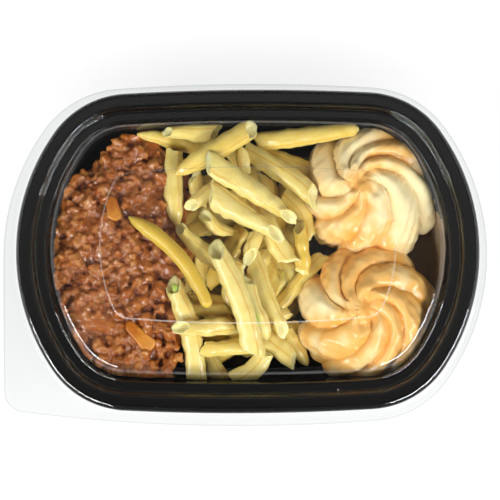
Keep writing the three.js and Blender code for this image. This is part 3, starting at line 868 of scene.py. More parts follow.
def pod_end(kind, rng):
    """How much one pod has shrunk across and upwards at its end."""
    if kind not in POD_SHRINKING:
        return LEAST_SHRINKING
    across, upwards = POD_SHRINKING[kind]
    return rng.uniform(*across), rng.uniform(*upwards)


# Widths of the rings that close a bean's end, and how far they lie inwards
ROUND_END = ((0.95, -0.2), (0.82, -0.42), (0.6, -0.62), (0.35, -0.74), (0.12, -0.78))
STEM_END = (
    (0.97, -0.12),
    (0.88, -0.32),
    (0.7, -0.5),
    (0.42, -0.6),
    (0.34, -0.76),
    (0.24, -0.78),
    (0.12, -0.5),
)
OPEN_END = ((0.93, -0.05), (0.78, 0.02), (0.66, 0.28), (0.55, 0.75), (0.25, 1.1))
CUT_END = ((0.93, -0.05), (0.78, -0.02), (0.55, 0.08), (0.4, 0.24), (0.2, 0.26))


def end_rings(kind, radius, rng):
    """Widths, depths, pinches and paleness of the rings that close a bean's end."""
    pinch = rng.uniform(0.1, 0.5)
    deep = radius * rng.uniform(0.6, 1.3)
    if kind == "round":
        return [(wide, inward * radius, 0.0, 0.0) for wide, inward in ROUND_END]
    if kind == "stem":
        return [(wide, inward * radius, 0.0, 0.3 * (wide < 0.5)) for wide, inward in STEM_END]
    rows = OPEN_END if kind == "open" else CUT_END
    return [
        (wide, inward * deep, pinch * (wide < 0.7), 1.0 if wide < 0.9 else 0.7) for wide, inward in rows
    ]


def bean_mesh(row, rng):
    """One bean: points, faces, and for each point its tone, seam, flesh and seed marks and its fibres."""
    start, finish = np.array(row.start, float), np.array(row.finish, float)
    length = np.linalg.norm(finish - start)
    way = (finish - start) / length
    sideways = np.cross((0, 0, 1), way)
    sideways /= np.linalg.norm(sideways)
    upward = np.cross(way, sideways)
    radius = row.width / 2
    seam_angle = rng.uniform(*SEAM_ANGLE) * math.pi
    even = np.linspace(0, 2 * math.pi, BEAN_SIDES, endpoint=False)
    by_seam = seam_angle + np.array(SEAM_POINTS)
    angles = np.sort(np.concatenate([even[np.abs(even - seam_angle) > SEAM_CLEARANCE], by_seam]))
    phases = rng.uniform(0, 2 * math.pi, 6)
    narrowing = rng.uniform(*POD_NARROWING)
    flatten = BEAN_FLATTEN + rng.uniform(*POD_FLATTENING)
    waist = rng.uniform(*POD_WAIST)
    shrunk = [(0.0, 0.0) if kind == "tip" else pod_end(kind, rng) for kind in row.ends]
    skin_seed = rng.integers(1 << 30)
    slopes = [cut_slope(kind, rng) for kind in row.ends]
    taper = min(TIP_MOST, TIP_LENGTH * row.width / length)
    cut_wave = 0.3 * np.sin(4 * angles + phases[0]) + 0.2 * np.sin(7 * angles + phases[3])

    def section(along, scale, inward, pinch=0.0):
        """A ring at a share of the length, its width scaled, moved along the bean and pinched to a slit."""
        bow = row.bow * 4 * along * (1 - along) + 0.12 * radius * math.sin(4 * along + phases[4])
        swell = 0.92 + 0.08 * (1 - abs(2 * along - 1) ** 3) + narrowing * (2 * along - 1)
        swell += waist * math.sin(2 * math.pi * along * length / SEED_SPACING + phases[1])
        lumps = 1 + 0.04 * np.sin(2 * angles + phases[2] + 3 * along)
        lumps += 0.025 * np.sin(3 * angles + phases[3] - 5 * along)
        crease = 1 - SEAM_DEPTH * np.exp(-(((angles - seam_angle) / SEAM_GROOVE) ** 2))
        slit = 1 - pinch * np.cos(angles - phases[5]) ** 2
        reach = radius * scale * swell * lumps * crease * slit
        lengthwise = np.full(len(angles), along * length)
        skin = np.column_stack([lengthwise, radius * np.cos(angles), radius * np.sin(angles)])
        reach = reach * (1 + 0.04 * soft_noise(skin, 5.0, skin_seed))
        shear, ragged = np.zeros(len(angles)), np.zeros(len(angles))
        wide, high = 1.0, flatten
        ends = zip(row.ends, slopes, shrunk, (1, -1), (along, 1 - along))
        for kind, (direction, slope), sunk, sign, gap in ends:
            if kind != "tip":
                fade = math.exp(-((gap * length / (CUT_FADE * row.width)) ** 2))
                shear += sign * fade * slope * np.cos(angles - direction)
                ragged += bool(slope) * math.exp(-((gap * length / CUT_RAGGED) ** 2)) * cut_wave
                wide *= 1 - sunk[0] * fade
                high *= 1 - sunk[1] * fade
        points = start + (finish - start) * along + sideways * bow
        points = points + np.outer(wide * reach * np.cos(angles), sideways)
        points += np.outer(high * reach * np.sin(angles), upward)
        return points + np.outer(inward + ragged + shear * reach, way)

    rings, flesh = [], []
    for along in 0.5 - 0.5 * np.cos(np.linspace(0, math.pi, BEAN_RINGS)):
        scale = 1.0
        for kind, gap in zip(row.ends, (along, 1 - along)):
            if kind == "tip" and gap < taper:
                scale *= max(TIP_BLUNTNESS, (1 - (1 - gap / taper) ** 2) ** 0.6)
        rings.append(section(along, scale, 0.0))
        flesh.append(0.0)
    for at_end, kind in enumerate(row.ends):
        if kind == "tip":
            continue
        sign = 1 - 2 * at_end
        rows = end_rings(kind, radius, rng)
        closing = [section(float(at_end), wide, sign * inward, pinch) for wide, inward, pinch, _ in rows]
        pale = [row_pale for *_, row_pale in rows]
        rings = [*rings, *closing] if at_end else [*closing[::-1], *rings]
        flesh = [*flesh, *pale] if at_end else [*pale[::-1], *flesh]
    points, faces = loft(rings)
    sides = len(angles)
    on_rings = len(rings) * sides
    marks = np.zeros((len(points), 4))
    marks[:, 0] = row.tone + rng.uniform(-TONE_SPREAD, TONE_SPREAD)
    from_start = points - start
    fibres = np.ones((len(points), 4))
    fibres[:, 0] = (from_start @ way) * FIBRE_WIDTH / FIBRE_LENGTH + rng.uniform(0, 500)
    fibres[:, 1] = from_start @ sideways
    fibres[:, 2] = from_start @ upward
    marks[:on_rings, 2] = np.repeat(flesh, sides)
    marks[-2:, 2] = 1.0
    line = np.tile(0.85 * np.exp(-(((angles - seam_angle) / SEAM_LINE) ** 2)), len(rings))
    marks[:on_rings, 1] = line * (marks[:on_rings, 2] < 0.5)
    if row.seed == "side":
        place = start + (finish - start) * 0.62 + upward * radius * BEAN_FLATTEN - sideways * 0.3 * radius
        offset = points - place
        spread = (offset @ way / 3.0) ** 2 + (offset @ sideways / 0.9) ** 2
        marks[:, 3] = np.exp(-spread)
    if row.seed == "end":
        ball, ball_faces = unit_ball()
        seed = start + way * 1.4 + upward * 1.3 + ball * 1.5 + np.outer(1.2 * ball @ way, way)
        (points, faces), green = joined([(points, faces), (seed, ball_faces)]), np.zeros((len(seed), 4))
        green[:, 3] = 1.0
        marks = np.concatenate([marks, green])
        fibres = np.concatenate([fibres, np.ones((len(seed), 4))])
    return points, faces, marks, fibres


class TRAYMEAL_OT_beans(bpy.types.Operator):
    """Makes the heap of cut wax beans"""

    bl_idname = "traymeal.beans"
    bl_label = "Beans"

    def execute(self, context):
        scene = context.scene
        rng = np.random.default_rng(BEAN_DRAWS)
        solids, marks, fibres = [], [], []
        for row in [*settled(BEANS), *hidden_beans(rng)]:
            points, faces, bean_marks, bean_fibres = bean_mesh(row, rng)
            solids.append((keep_in_tray(points, scene.tray_meal_pack), faces))
            marks.append(bean_marks)
            fibres.append(bean_fibres)
        points, faces = joined(solids)
        material = wax_bean_skin(scene.tray_meal_food)
        piece = add_piece("wax_beans", points, faces, material, "wax_bean", "beans")
        mark(piece, "marks", np.concatenate(marks))
        mark(piece, "fibres", np.concatenate(fibres))
        return {"FINISHED"}


MINCE = {"x": -63.0, "y": -1.0, "half_length": 34.0, "half_width": 62.0, "height": 23.5, "drop": 0.1}
MINCE_TURN = math.radians(-8)
MINCE_DRAWS = 7

# Directions and spreads in which the heap's edge comes in or goes out, and by what share
MINCE_EDGE = ((2.2, 0.3, -0.25), (-0.75, 0.35, 0.2))
CRUMBS = 1000
GRAINS_PER_CRUMB = 4
GRAIN_RADIUS = (0.5, 1.3)
CRUMB_STRETCH = (0.75, 1.25)
CRUMB_KNOBS = 0.24
CRUMB_SINKING = (-0.6, 0.55)
SLABS = (
    (-73.0, -31.5, 15.0, 5.5, -12.0),
    (-80.0, 12.0, 9.0, 6.0, 60.0),
    (-66.0, 2.0, 8.0, 6.0, 20.0),
)
SLAB_HALF_THICKNESS = 3.2
SAUCE_SMOOTHING = 0.5
SAUCE_SMOOTHING_STEPS = 3
CORE_REACHES = (0.96, 0.93, 0.87, 0.79, 0.7, 0.6, 0.5, 0.4, 0.3, 0.2, 0.1)
MINCE_VOXEL = 0.56
HEAP_SQUARENESS = 2.7


def square_reach(angle):
    """The reach of a rounded square of half width 1 in one direction."""
    powers = np.abs(np.cos(angle)) ** HEAP_SQUARENESS + np.abs(np.sin(angle)) ** HEAP_SQUARENESS
    return powers ** (-1 / HEAP_SQUARENESS)


def mince_place(reach, angle):
    """The place in plan at a share of the mince's reach in one direction."""
    out = reach * square_reach(angle)
    for direction, spread, more in MINCE_EDGE:
        out = out * (1 + more * beside(angle, direction, spread))
    out = out * (1 + 0.022 * np.sin(9 * angle + 1.0) + 0.016 * np.sin(16 * angle))
    u = MINCE["half_length"] * out * np.cos(angle)
    v = MINCE["half_width"] * out * np.sin(angle)
    x = MINCE["x"] + u * math.cos(MINCE_TURN) - v * math.sin(MINCE_TURN)
    y = MINCE["y"] + u * math.sin(MINCE_TURN) + v * math.cos(MINCE_TURN)
    return x, y


def mince_level(x, y, reach):
    """How high the mince stands at a place."""
    plan = np.column_stack([np.atleast_1d(x), np.atleast_1d(y), np.zeros(np.size(x))])
    swell = 1.1 * soft_noise(plan, 20.0, 3) + 1.2 * soft_noise(plan, 8.0, 4)
    return MINCE["height"] * (1 - MINCE["drop"] * reach**3) + swell


def mince_core():
    """A closed mound under the crumbs, up to the level of the sauce."""
    angles = np.linspace(0, 2 * math.pi, 96, endpoint=False)
    x, y = mince_place(0.9, angles)
    rings = [np.column_stack([x, y, np.full(len(x), 1.2)])]
    for reach in CORE_REACHES:
        x, y = mince_place(reach, angles)
        rings.append(np.column_stack([x, y, mince_level(x, y, reach) - 0.2]))
    return loft(rings)


def lying_on_mince():
    """Beans and carrots that lie on the mince: their middle lines' ends, half widths and undersides."""
    rows = []
    for bean in settled(BEANS):
        rows.append((np.array(bean.start), np.array(bean.finish), 0.5 * bean.width, 0.3 * bean.width))
    for strip in CARROTS:
        turn = math.radians(strip.turn)
        middle = np.array([strip.x, strip.y, strip.z])
        half = 0.5 * strip.length * np.array([math.cos(turn), math.sin(turn), 0.0])
        half_width = 0.5 * CARROT_WIDTH - CARROT_LAP
        rows.append((middle - 0.3 * half, middle + half, half_width, 0.5 * CARROT_THICKNESS))
    return rows


def room_under(x, y, rows):
    """How high a crumb may reach at a place under what lies on the mince; no limit where nothing does."""
    room = math.inf
    for start, finish, half_width, underside in rows:
        way = (finish - start)[:2]
        along = min(max(((x, y) - start[:2]) @ way / (way @ way), 0.0), 1.0)
        place = start + (finish - start) * along
        if math.hypot(x - place[0], y - place[1]) < half_width + BED_MARGIN:
            room = min(room, place[2] - underside)
    return room


def standing_out(points, cell=1.0, blur=7):
    """How far each point stands above the mean height of its surroundings, in millimetres."""
    places = ((points[:, :2] - points[:, :2].min(axis=0)) / cell).astype(int) + blur
    tops = np.zeros(places.max(axis=0) + 2 * blur)
    np.maximum.at(tops, tuple(places.T), points[:, 2])
    windows = np.lib.stride_tricks.sliding_window_view(np.pad(tops, blur // 2, mode="edge"), (blur, blur))
    return points[:, 2] - windows.mean(axis=(2, 3))[tuple(places.T)]


class TRAYMEAL_OT_mince(bpy.types.Operator):
    """Makes the heap of minced meat in sauce"""

    bl_idname = "traymeal.mince"
    bl_label = "Mince"

    def crumbs(self, food, rng):
        """Crumbs of meat spread evenly over the heap, uneven in size and shape."""
        ball, faces = unit_ball()
        above = lying_on_mince()
        for index in range(CRUMBS):
            reach = math.sqrt((index + 0.5) / CRUMBS) * 0.99
            x, y = mince_place(reach, index * GOLDEN_ANGLE + rng.uniform(-0.1, 0.1))
            radius = food.crumb_least + (food.crumb_most - food.crumb_least) * rng.uniform() ** 1.6
            knobs = 1 + CRUMB_KNOBS * soft_noise(ball, 0.9, rng.integers(1 << 30))
            lump = ball * knobs[:, None] * rng.uniform(*CRUMB_STRETCH, 3) * radius
            turn = np.array(Matrix.Rotation(rng.uniform(0, 6.28), 3, Vector(rng.normal(size=3))))
            middle = np.array([x, y, mince_level(x, y, reach)[0] + rng.uniform(*CRUMB_SINKING) * radius])
            room = room_under(x, y, above)
            middle[2] = min(middle[2], room - radius)
            yield lump @ turn.T + middle, faces
            for _ in range(GRAINS_PER_CRUMB if room == math.inf else 0):
                way = rng.normal(size=3)
                way[2] = abs(way[2])
                place = middle + way / np.linalg.norm(way) * radius * rng.uniform(0.7, 1.0)
                yield ball * rng.uniform(*GRAIN_RADIUS) * rng.uniform(*CRUMB_STRETCH, 3) + place, faces

    def slabs(self):
        """Broad flat pieces that the sauce has coated smooth."""
        ball, faces = unit_ball()
        for x, y, half_length, half_width, turn in SLABS:
            lump = ball * (half_length, half_width, SLAB_HALF_THICKNESS)
            lump[:, 2] += 0.5 * soft_noise(lump, 6.0, int(100 - x))
            spin = np.array(Matrix.Rotation(math.radians(turn), 3, "Z"))
            yield lump @ spin.T + (x, y, mince_level(x, y, 0.7)[0] + 0.6), faces

    def execute(self, context):
        scene = context.scene
        food = scene.tray_meal_food
        rng = np.random.default_rng(MINCE_DRAWS)
        crumbs = list(self.crumbs(food, rng))
        points, faces = joined([mince_core(), *crumbs, *self.slabs()])
        points = keep_in_tray(points, scene.tray_meal_pack, 0.8)
        piece = add_piece("minced_meat", points, faces, minced_meat(food), "minced_meat", "mince")
        remesh = piece.modifiers.new("one_skin", "REMESH")
        remesh.mode = "VOXEL"
        remesh.voxel_size = MINCE_VOXEL * MM
        smooth = piece.modifiers.new("sauce_coat", "SMOOTH")
        smooth.factor = SAUCE_SMOOTHING
        smooth.iterations = SAUCE_SMOOTHING_STEPS
        self.apply_modifiers(context, piece)
        self.drop_specks(piece.data)
        points = np.empty(len(piece.data.vertices) * 3)
        piece.data.vertices.foreach_get("co", points)
        points = keep_in_tray(points.reshape(-1, 3) / MM, scene.tray_meal_pack, 0.5)
        piece.data.vertices.foreach_set("co", (points * MM).ravel())
        piece.data.shade_smooth()
        # How far each point stands out, for the painted shade in hollows and the painted light on tops
        mark(piece, "crest", np.clip(0.5 + 0.22 * standing_out(points), 0, 1))
        mark(piece, "paleness", self.paleness([lump.mean(axis=0) for lump, _ in crumbs], points, rng))
        return {"FINISHED"}

    def paleness(self, middles, points, rng):
        """How pale the meat is at each point: one value for each crumb, taken from the nearest one."""
        tree = KDTree(len(middles))
        for index, middle in enumerate(middles):
            tree.insert(middle, index)
        tree.balance()
        values = rng.uniform(size=len(middles))
        return values[[tree.find(point)[1] for point in points]]

    def drop_specks(self, mesh):
        """Deletes what isn't joined to the heap's highest point: specks that the remeshing leaves."""
        heap = bmesh.new()
        heap.from_mesh(mesh)
        to_visit = [max(heap.verts, key=lambda vert: vert.co.z)]
        joined_up = set(to_visit)
        while to_visit:
            vert = to_visit.pop()
            beside = {edge.other_vert(vert) for edge in vert.link_edges} - joined_up
            joined_up |= beside
            to_visit.extend(beside)
        specks = [vert for vert in heap.verts if vert not in joined_up]
        bmesh.ops.delete(heap, geom=specks, context="VERTS")
        heap.to_mesh(mesh)
        heap.free()

    def apply_modifiers(self, context, piece):
        """Turns the piece's modifiers into its own mesh."""
        for name in [m.name for m in piece.modifiers]:
            with context.temp_override(object=piece, active_object=piece):
                bpy.ops.object.modifier_apply(modifier=name)


class Carrot(NamedTuple):
    """A strip of carrot: its node, middle and length in millimetres, turn and lean in degrees, and sauce."""

    node: str
    x: float
    y: float
    z: float
    length: float
    turn: float
    lean: float
    sauce: float


CARROTS = (
    Carrot("carrot_strip_front", -51.5, -39.5, 26.2, 18.0, -45, 6, 0.0),
    Carrot("carrot_strip_back", -64.0, 21.5, 27.0, 12.5, -78, -5, 0.08),
)
CARROT_WIDTH = 6.5
BED_MARGIN = 1.0
CARROT_WEDGE = 0.5
CARROT_LAP = 0.9
CARROT_THICKNESS = 2.6

# Insets and heights of the rings round a strip, and how much sauce clings to them
CARROT_RINGS = ((1.1, -0.5), (0.35, -0.46), (0.0, -0.2), (0.0, 0.2), (0.3, 0.44), (1.2, 0.5))
CARROT_FILM = (1.0, 0.9, 0.7, 0.5, 0.25, 0.0)


class TRAYMEAL_OT_carrots(bpy.types.Operator):
    """Makes the strips of carrot on the mince"""

    bl_idname = "traymeal.carrots"
    bl_label = "Carrots"

    def strip(self, row):
        """A flat strip with round ends and rounded edges, sagging a little over the meat."""
        angles = np.linspace(0, 2 * math.pi, 48, endpoint=False)
        straight = row.length / 2 - CARROT_WIDTH / 2
        rings = []
        for inset, z in CARROT_RINGS:
            reach = CARROT_WIDTH / 2 - inset
            x = np.sign(np.cos(angles)) * straight + reach * np.cos(angles)
            y = reach * np.sin(angles) * (1 + 0.08 * np.sin(3 * angles) + CARROT_WEDGE * x / row.length)
            sag = -0.012 * x**2 + 0.3 * np.sin(0.6 * x)
            rings.append(np.column_stack([x, y, z * CARROT_THICKNESS + sag]))
        points, faces = loft(rings)
        lean = np.array(Matrix.Rotation(math.radians(row.lean), 3, "Y"))
        turn = np.array(Matrix.Rotation(math.radians(row.turn), 3, "Z"))
        edge = np.concatenate([np.repeat(CARROT_FILM, len(angles)), [1.0, 0.0]])
        sauce = row.sauce - 0.7 * points[:, 0] / row.length + 0.3 * edge
        return points @ lean.T @ turn.T + (row.x, row.y, row.z), faces, sauce

    def execute(self, context):
        material = cooked_carrot(context.scene.tray_meal_food)
        for row in CARROTS:
            points, faces, sauce = self.strip(row)
            name = row.node.replace("strip", "slice")
            piece = add_piece(name, points, faces, material, "carrot", row.node)
            mark(piece, "sauce", sauce)
        return {"FINISHED"}


class Pour(NamedTuple):
    """Gravy on one side of a rosette: its direction and spread in degrees, and how much it adds."""

    direction: float
    spread: float
    depth: float


class Rosette(NamedTuple):
    """A piped rosette: its node, place, turn, where its ridges are broad, its gravy and how its tip leans."""

    node: str
    x: float
    y: float
    turn: float
    broad: float
    pours: tuple
    film: float
    tip: tuple


ROSETTES = (
    Rosette(
        node="mash_rosette_back",
        x=59.5,
        y=31.0,
        turn=0.3,
        broad=3.6,
        pours=(Pour(52, 28, 0.9), Pour(-95, 40, 1.0), Pour(165, 40, 0.3)),
        film=0.1,
        tip=(-6.0, 1.0),
    ),
    Rosette(
        node="mash_rosette_front",
        x=57.0,
        y=-28.5,
        turn=0.0,
        broad=3.7,
        pours=(Pour(172, 26, -0.75), Pour(-78, 30, -0.25)),
        film=1.0,
        tip=(-2.0, 1.0),
    ),
)
RIDGES = 8
RIDGE_TWIST = 1.7
RIDGE_POINTS = 36
DOME_RINGS = 100
ROSETTE_FOOT = 0.86
ROSETTE_SKIRT = 0.3
MASH_DRAWS = 11
DOME_FULLNESS = 0.8
DOME_POINT = 1.15
FOOT_REACHES = (0.5, ROSETTE_FOOT, 0.95)
FOOT_HEIGHTS = (0.0, 0.0, 0.17)
TIP_REACH = 0.01


class TRAYMEAL_OT_mash(bpy.types.Operator):
    """Makes the two piped rosettes of mashed potato with gravy"""

    bl_idname = "traymeal.mash"
    bl_label = "Mash"

    def rosette(self, row, food, seed):
        """Points, faces and gravy of one rosette: ridges wind clockwise from the middle out."""
        rng = np.random.default_rng(seed)
        climb = np.linspace(0, math.pi / 2, DOME_RINGS)
        climb = np.concatenate([[0.0, 0.0, 0.0], climb])
        across = np.cos(climb) ** DOME_FULLNESS
        across[:3] = FOOT_REACHES
        across[-1] = TIP_REACH
        rise = ROSETTE_SKIRT + (1 - ROSETTE_SKIRT) * np.sin(climb) ** DOME_POINT
        rise[:3] = FOOT_HEIGHTS
        angles = np.linspace(0, 2 * math.pi, RIDGES * RIDGE_POINTS, endpoint=False)
        reach, angle = np.meshgrid(across, angles, indexing="ij")
        height, slope = rise[:, None], climb[:, None]
        sway = rng.uniform(0, 2 * math.pi, 4)
        phase = angle + 0.36 * np.sin(angle + row.broad) + 0.12 * np.sin(2 * angle + sway[1])
        phase = phase + 0.08 * np.sin(3 * angle + 4 * reach + sway[2])
        phase = (phase * RIDGES / (2 * math.pi)) % RIDGES
        part = phase % 1.0
        tall = rng.uniform(0.7, 1.15, RIDGES)[phase.astype(int) % RIDGES]
        lobe = np.sin(math.pi * part**0.7)
        groove = (1 - lobe) * np.clip((reach - 0.06) / 0.35, 0, 1)
        wound = angle + row.turn - reach * (RIDGE_TWIST + 0.65 * np.cos(angle - 1.0))
        flat = np.stack([reach * np.cos(wound), reach * np.sin(wound), height + 0 * reach], axis=-1)
        flat = flat.reshape(-1, 3) * food.rosette_radius
        cover = np.full_like(angle, row.film)
        for pour in row.pours:
            near = beside(wound, math.radians(pour.direction), math.radians(pour.spread))
            cover += pour.depth * near * np.clip(3 * reach, 0, 1)
        cover *= np.clip((1.08 - reach) / 0.16, 0, 1)
        cover = np.maximum(cover, 0.9 * np.exp(-((reach / 0.26) ** 2)))
        cover = np.clip(cover * (1 + 0.25 * soft_noise(flat, 9.0, seed + 3).reshape(cover.shape)), 0, 1)
        pooled = np.maximum(groove, 0.55 * np.exp(-(((reach - 0.1) / 0.16) ** 2)))
        gravy = np.clip(cover * (0.52 + 0.4 * pooled), 0, 1)
        depth = food.ridge_depth * tall * groove * (1 - 0.35 * cover)
        ragged = soft_noise(flat, 5.0, seed + 9).reshape(cover.shape)
        out = reach * food.rosette_radius - depth * np.cos(slope) + 0.45 * ragged * np.minimum(1, 2 * reach)
        curl = 2.0 * soft_noise(flat, 7.0, seed + 20).reshape(cover.shape) * np.exp(-((reach / 0.3) ** 2))
        curl += 1.5 * np.cos(wound + 14 * reach + sway[3]) * np.exp(-(((reach - 0.2) / 0.14) ** 2))
        up = height * food.rosette_height - 0.85 * depth * np.sin(slope) + curl * np.sin(slope) + 1.2
        lean = np.sin(slope) ** 2
        points = np.stack(
            [
                row.x + out * np.cos(wound) + row.tip[0] * lean,
                row.y + out * np.sin(wound) + row.tip[1] * lean,
                np.minimum(up, food.rosette_height + 2.2),
            ],
            axis=-1,
        )
        solid, faces = loft(list(points))
        return solid, faces, np.concatenate([gravy.ravel(), [0.0, gravy[-1].mean()]])

    def execute(self, context):
        scene = context.scene
        food = scene.tray_meal_food
        material = piped_mash(food)
        for index, row in enumerate(ROSETTES):
            points, faces, gravy = self.rosette(row, food, MASH_DRAWS + index)
            points = keep_in_tray(points, scene.tray_meal_pack)
            name = row.node.replace("rosette", "piped")
            piece = add_piece(name, points, faces, material, "mashed_potato", row.node)
            mark(piece, "gravy", gravy)
        return {"FINISHED"}


FILM_REACH = 14
FILM_TOP = 27.0
FILM_THICKNESS = 0.22
FILM_BACK = 0.4
FILM_FLOOR = (-42, -1)
FILM_FLOOR_ROWS, FILM_WALL_ROWS = 14, 30
FILM_HALF_WIDTH = 24.0
FILM_FADE = 6.0
FILM_DRAWS = 51
WALL_POINTS = 20


class TRAYMEAL_OT_gravy(bpy.types.Operator):
    """Makes the gravy that has run down the tray's end beside the mash"""

    bl_idname = "traymeal.gravy"
    bl_label = "Gravy"

    def execute(self, context):
        scene = context.scene
        pack = scene.tray_meal_pack
        inner = tray_profile(pack)
        heights = np.linspace(inner[0, 1] + 0.02, FILM_TOP, FILM_WALL_ROWS)
        curve = inner[:WALL_POINTS]
        wall = np.column_stack([np.interp(heights, curve[:, 1], curve[:, 0]), heights])
        across = np.linspace(*FILM_FLOOR, FILM_FLOOR_ROWS) + inner[0, 0]
        floor = np.column_stack([across, np.full(FILM_FLOOR_ROWS, inner[0, 1])])
        profile = np.concatenate([floor, wall])
        front, back = (self.strip(parallel(profile, side)) for side in (-FILM_THICKNESS, FILM_BACK))
        wet = self.wetness(front)
        front = back + (front - back) * wet[:, :, None]
        points, faces = loft(list(np.concatenate([front, back[:, ::-1]], axis=1)))
        wet = np.concatenate([wet, wet[:, ::-1]], axis=1).ravel()
        faces = [face for face in faces if max(face) < len(wet) and wet[face].max() > 0]
        used, corners = np.unique(np.concatenate(faces), return_inverse=True)
        points, faces = points[used], corners.reshape(-1, 4).tolist()
        # The film's colour holds a painted reflection of the lid's haze
        add_piece("gravy_film_and_haze", points, faces, meat_gravy(scene.tray_meal_food), "minced_meat")
        return {"FINISHED"}

    def strip(self, profile):
        """A strip of the tray's inside at its mash end: a row of points across it for each profile point."""
        rows = []
        for distance, z in profile:
            around = ring(RIM.moved(distance), z)
            rows.append(np.concatenate([around[-FILM_REACH:], around[: FILM_REACH + 1]]))
        return np.array(rows)

    def wetness(self, strip):
        """How thick the gravy is at each point of the strip, from none to all of its thickness."""
        flat = strip.reshape(-1, 3)
        up_wall = np.clip((flat[:, 2] - FILM_TOP) / FILM_FADE + 1, 0, None)
        patch = 1.2 - (flat[:, 1] / FILM_HALF_WIDTH) ** 2 - up_wall
        wet = np.clip((patch + 0.3 * soft_noise(flat, 9.0, FILM_DRAWS)) * 2, 0, 1).reshape(strip.shape[:2])
        wet[[0, -1]] = 0.0
        wet[:, [0, -1]] = 0.0
        return wet


CAMERA_AIM = (1.05, -0.15, 36.0)
CAMERA_DISTANCE = 1500.0
CAMERA_ELEVATION = 82.5
CAMERA_ROLL = 0.35
CAMERA_LENS = 228.0
CAMERA_SENSOR = 36.0
CAMERA_CLIP = 50.0
FLOOR_HALF = 2000.0
SOFTBOXES = {"softbox_left": (-760, -680, 830), "softbox_right": (780, -640, 830)}
SOFTBOX_WIDTH, SOFTBOX_HEIGHT = 1200, 180
SOFTBOX_POWER = 19.2

# The studio's up leans towards the photograph's camera
STUDIO_UP = Vector((-0.044, -0.21, 1)).normalized()


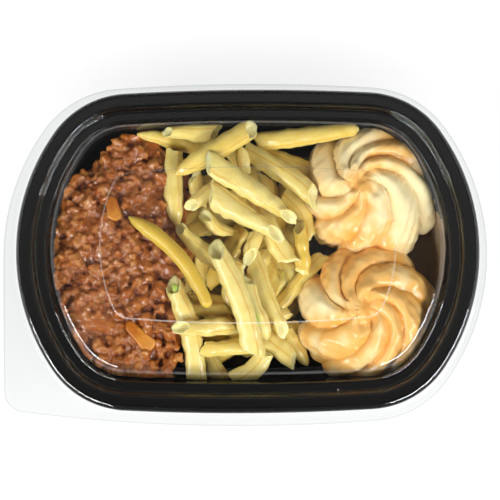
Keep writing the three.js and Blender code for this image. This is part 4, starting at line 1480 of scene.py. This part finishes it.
class TRAYMEAL_OT_stage(bpy.types.Operator):
    """Makes the floor, the lights and the camera"""

    bl_idname = "traymeal.stage"
    bl_label = "Stage"

    def floor(self, scene):
        """A large lit white sheet under the pack."""
        mesh = bpy.data.meshes.new("floor")
        half = FLOOR_HALF * MM
        corners = [(-half, -half, 0), (half, -half, 0), (half, half, 0), (-half, half, 0)]
        mesh.from_pydata(corners, [], [(0, 1, 2, 3)])
        mesh.materials.append(opal_acrylic())
        floor = bpy.data.objects.new("floor", mesh)
        scene.collection.objects.link(floor)
        floor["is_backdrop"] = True

    def camera(self, scene):
        """The camera at the photograph's viewing angle, almost straight above the pack."""
        camera = bpy.data.objects.new("camera", bpy.data.cameras.new("camera"))
        scene.collection.objects.link(camera)
        up = math.radians(CAMERA_ELEVATION)
        back = Vector((0, -math.cos(up), math.sin(up)))
        camera.location = (Vector(CAMERA_AIM) + back * CAMERA_DISTANCE) * MM
        turn = (-back).to_track_quat("-Z", "Y").to_matrix().to_4x4()
        camera.rotation_euler = (turn @ Matrix.Rotation(math.radians(-CAMERA_ROLL), 4, "Z")).to_euler()
        camera.data.lens = CAMERA_LENS
        camera.data.sensor_width = CAMERA_SENSOR
        camera.data.clip_end = CAMERA_CLIP
        scene.camera = camera

    def softbox(self, scene, name, place):
        """A large soft lamp at a place in millimetres, turned towards the pack."""
        lamp = bpy.data.lights.new(name, "AREA")
        lamp.shape = "RECTANGLE"
        lamp.size = SOFTBOX_WIDTH * MM
        lamp.size_y = SOFTBOX_HEIGHT * MM
        lamp.energy = SOFTBOX_POWER
        softbox = bpy.data.objects.new(name, lamp)
        scene.collection.objects.link(softbox)
        softbox.location = Vector(place) * MM
        softbox.rotation_euler = (-Vector(place)).to_track_quat("-Z", "Y").to_euler()

    def surround(self, scene):
        """A studio room with pale walls left and right, dark in front, behind and overhead. The walls end
        low, so that the lid's bends mirror thin bright lines and its flat panel stays clear."""
        world = bpy.data.worlds.new("studio")
        world.use_nodes = True
        world.node_tree.nodes.clear()
        add = partial(add_node, world.node_tree)
        way = add("TexCoord", {}, "Generated")
        up = add("VectorMath", {"operation": "DOT_PRODUCT", 0: way, 1: STUDIO_UP}, "Value")
        ceiling = add(
            "MapRange", {"Value": up, "From Min": 0.925, "From Max": 0.965, "To Min": 0.22, "To Max": 0.03}
        )
        dimmer = add("MapRange", {"Value": up, "From Min": 0.84, "From Max": 0.91, "To Min": 0.35})
        overhead = add("Math", {"operation": "MULTIPLY", 0: ceiling, 1: dimmer})
        low_walls = add(
            "MapRange", {"Value": up, "From Min": 0.37, "From Max": 0.45, "To Min": 0.35, "To Max": 1.6}
        )
        walls = add(
            "MapRange",
            {
                "interpolation_type": "SMOOTHSTEP",
                "Value": up,
                "From Min": 0.46,
                "From Max": 0.58,
                "To Min": low_walls,
                "To Max": 0.0,
            },
        )
        forward = add("SeparateXYZ", {"Vector": way}, "Y")
        depth = add("Math", {"operation": "ABSOLUTE", 0: forward})
        open_ends = add(
            "MapRange", {"Value": depth, "From Min": 0.45, "From Max": 0.85, "To Min": 1.0, "To Max": 0.06}
        )
        glow = add("Math", {"operation": "MULTIPLY_ADD", 0: walls, 1: open_ends, 2: overhead})
        light = add("Background", {"Color": linear("#fffefc"), "Strength": glow})
        add("OutputWorld", {"Surface": light})
        scene.world = world

    def execute(self, context):
        scene = context.scene
        self.floor(scene)
        self.camera(scene)
        self.surround(scene)
        for name, place in SOFTBOXES.items():
            self.softbox(scene, name, place)
        scene.view_settings.view_transform = "Standard"
        return {"FINISHED"}


class TRAYMEAL_PT_panel(bpy.types.Panel):
    """Lists what the meal is made of"""

    bl_idname = "TRAYMEAL_PT_panel"
    bl_label = "Tray Ready Meal"
    bl_space_type = "VIEW_3D"
    bl_region_type = "UI"
    bl_category = "Tray Meal"

    def draw(self, context):
        for operator in OPERATORS:
            self.layout.operator(operator.bl_idname)
        for group in (context.scene.tray_meal_pack, context.scene.tray_meal_food):
            box = self.layout.box()
            for name in group.bl_rna.properties.keys():
                if name not in {"rna_type", "name"}:
                    box.prop(group, name)


OPERATORS = (
    TRAYMEAL_OT_stage,
    TRAYMEAL_OT_tray,
    TRAYMEAL_OT_mince,
    TRAYMEAL_OT_carrots,
    TRAYMEAL_OT_beans,
    TRAYMEAL_OT_mash,
    TRAYMEAL_OT_gravy,
    TRAYMEAL_OT_lid,
)
CLASSES = (TrayMealPack, TrayMealFood, *OPERATORS, TRAYMEAL_PT_panel)


def register():
    for cls in CLASSES:
        bpy.utils.register_class(cls)
    bpy.types.Scene.tray_meal_pack = bpy.props.PointerProperty(type=TrayMealPack)
    bpy.types.Scene.tray_meal_food = bpy.props.PointerProperty(type=TrayMealFood)


def unregister():
    del bpy.types.Scene.tray_meal_food
    del bpy.types.Scene.tray_meal_pack
    for cls in reversed(CLASSES):
        bpy.utils.unregister_class(cls)


def main():
    register()
    bpy.ops.traymeal.stage()
    bpy.ops.traymeal.tray()
    bpy.ops.traymeal.mince()
    bpy.ops.traymeal.carrots()
    bpy.ops.traymeal.beans()
    bpy.ops.traymeal.mash()
    bpy.ops.traymeal.gravy()
    bpy.ops.traymeal.lid()
    boxes = {"cad": CAD_BOX, "visual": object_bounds()}
    {name: [list(corner) for corner in box] for name, box in boxes.items()}


if __name__ == "__main__":
    main()
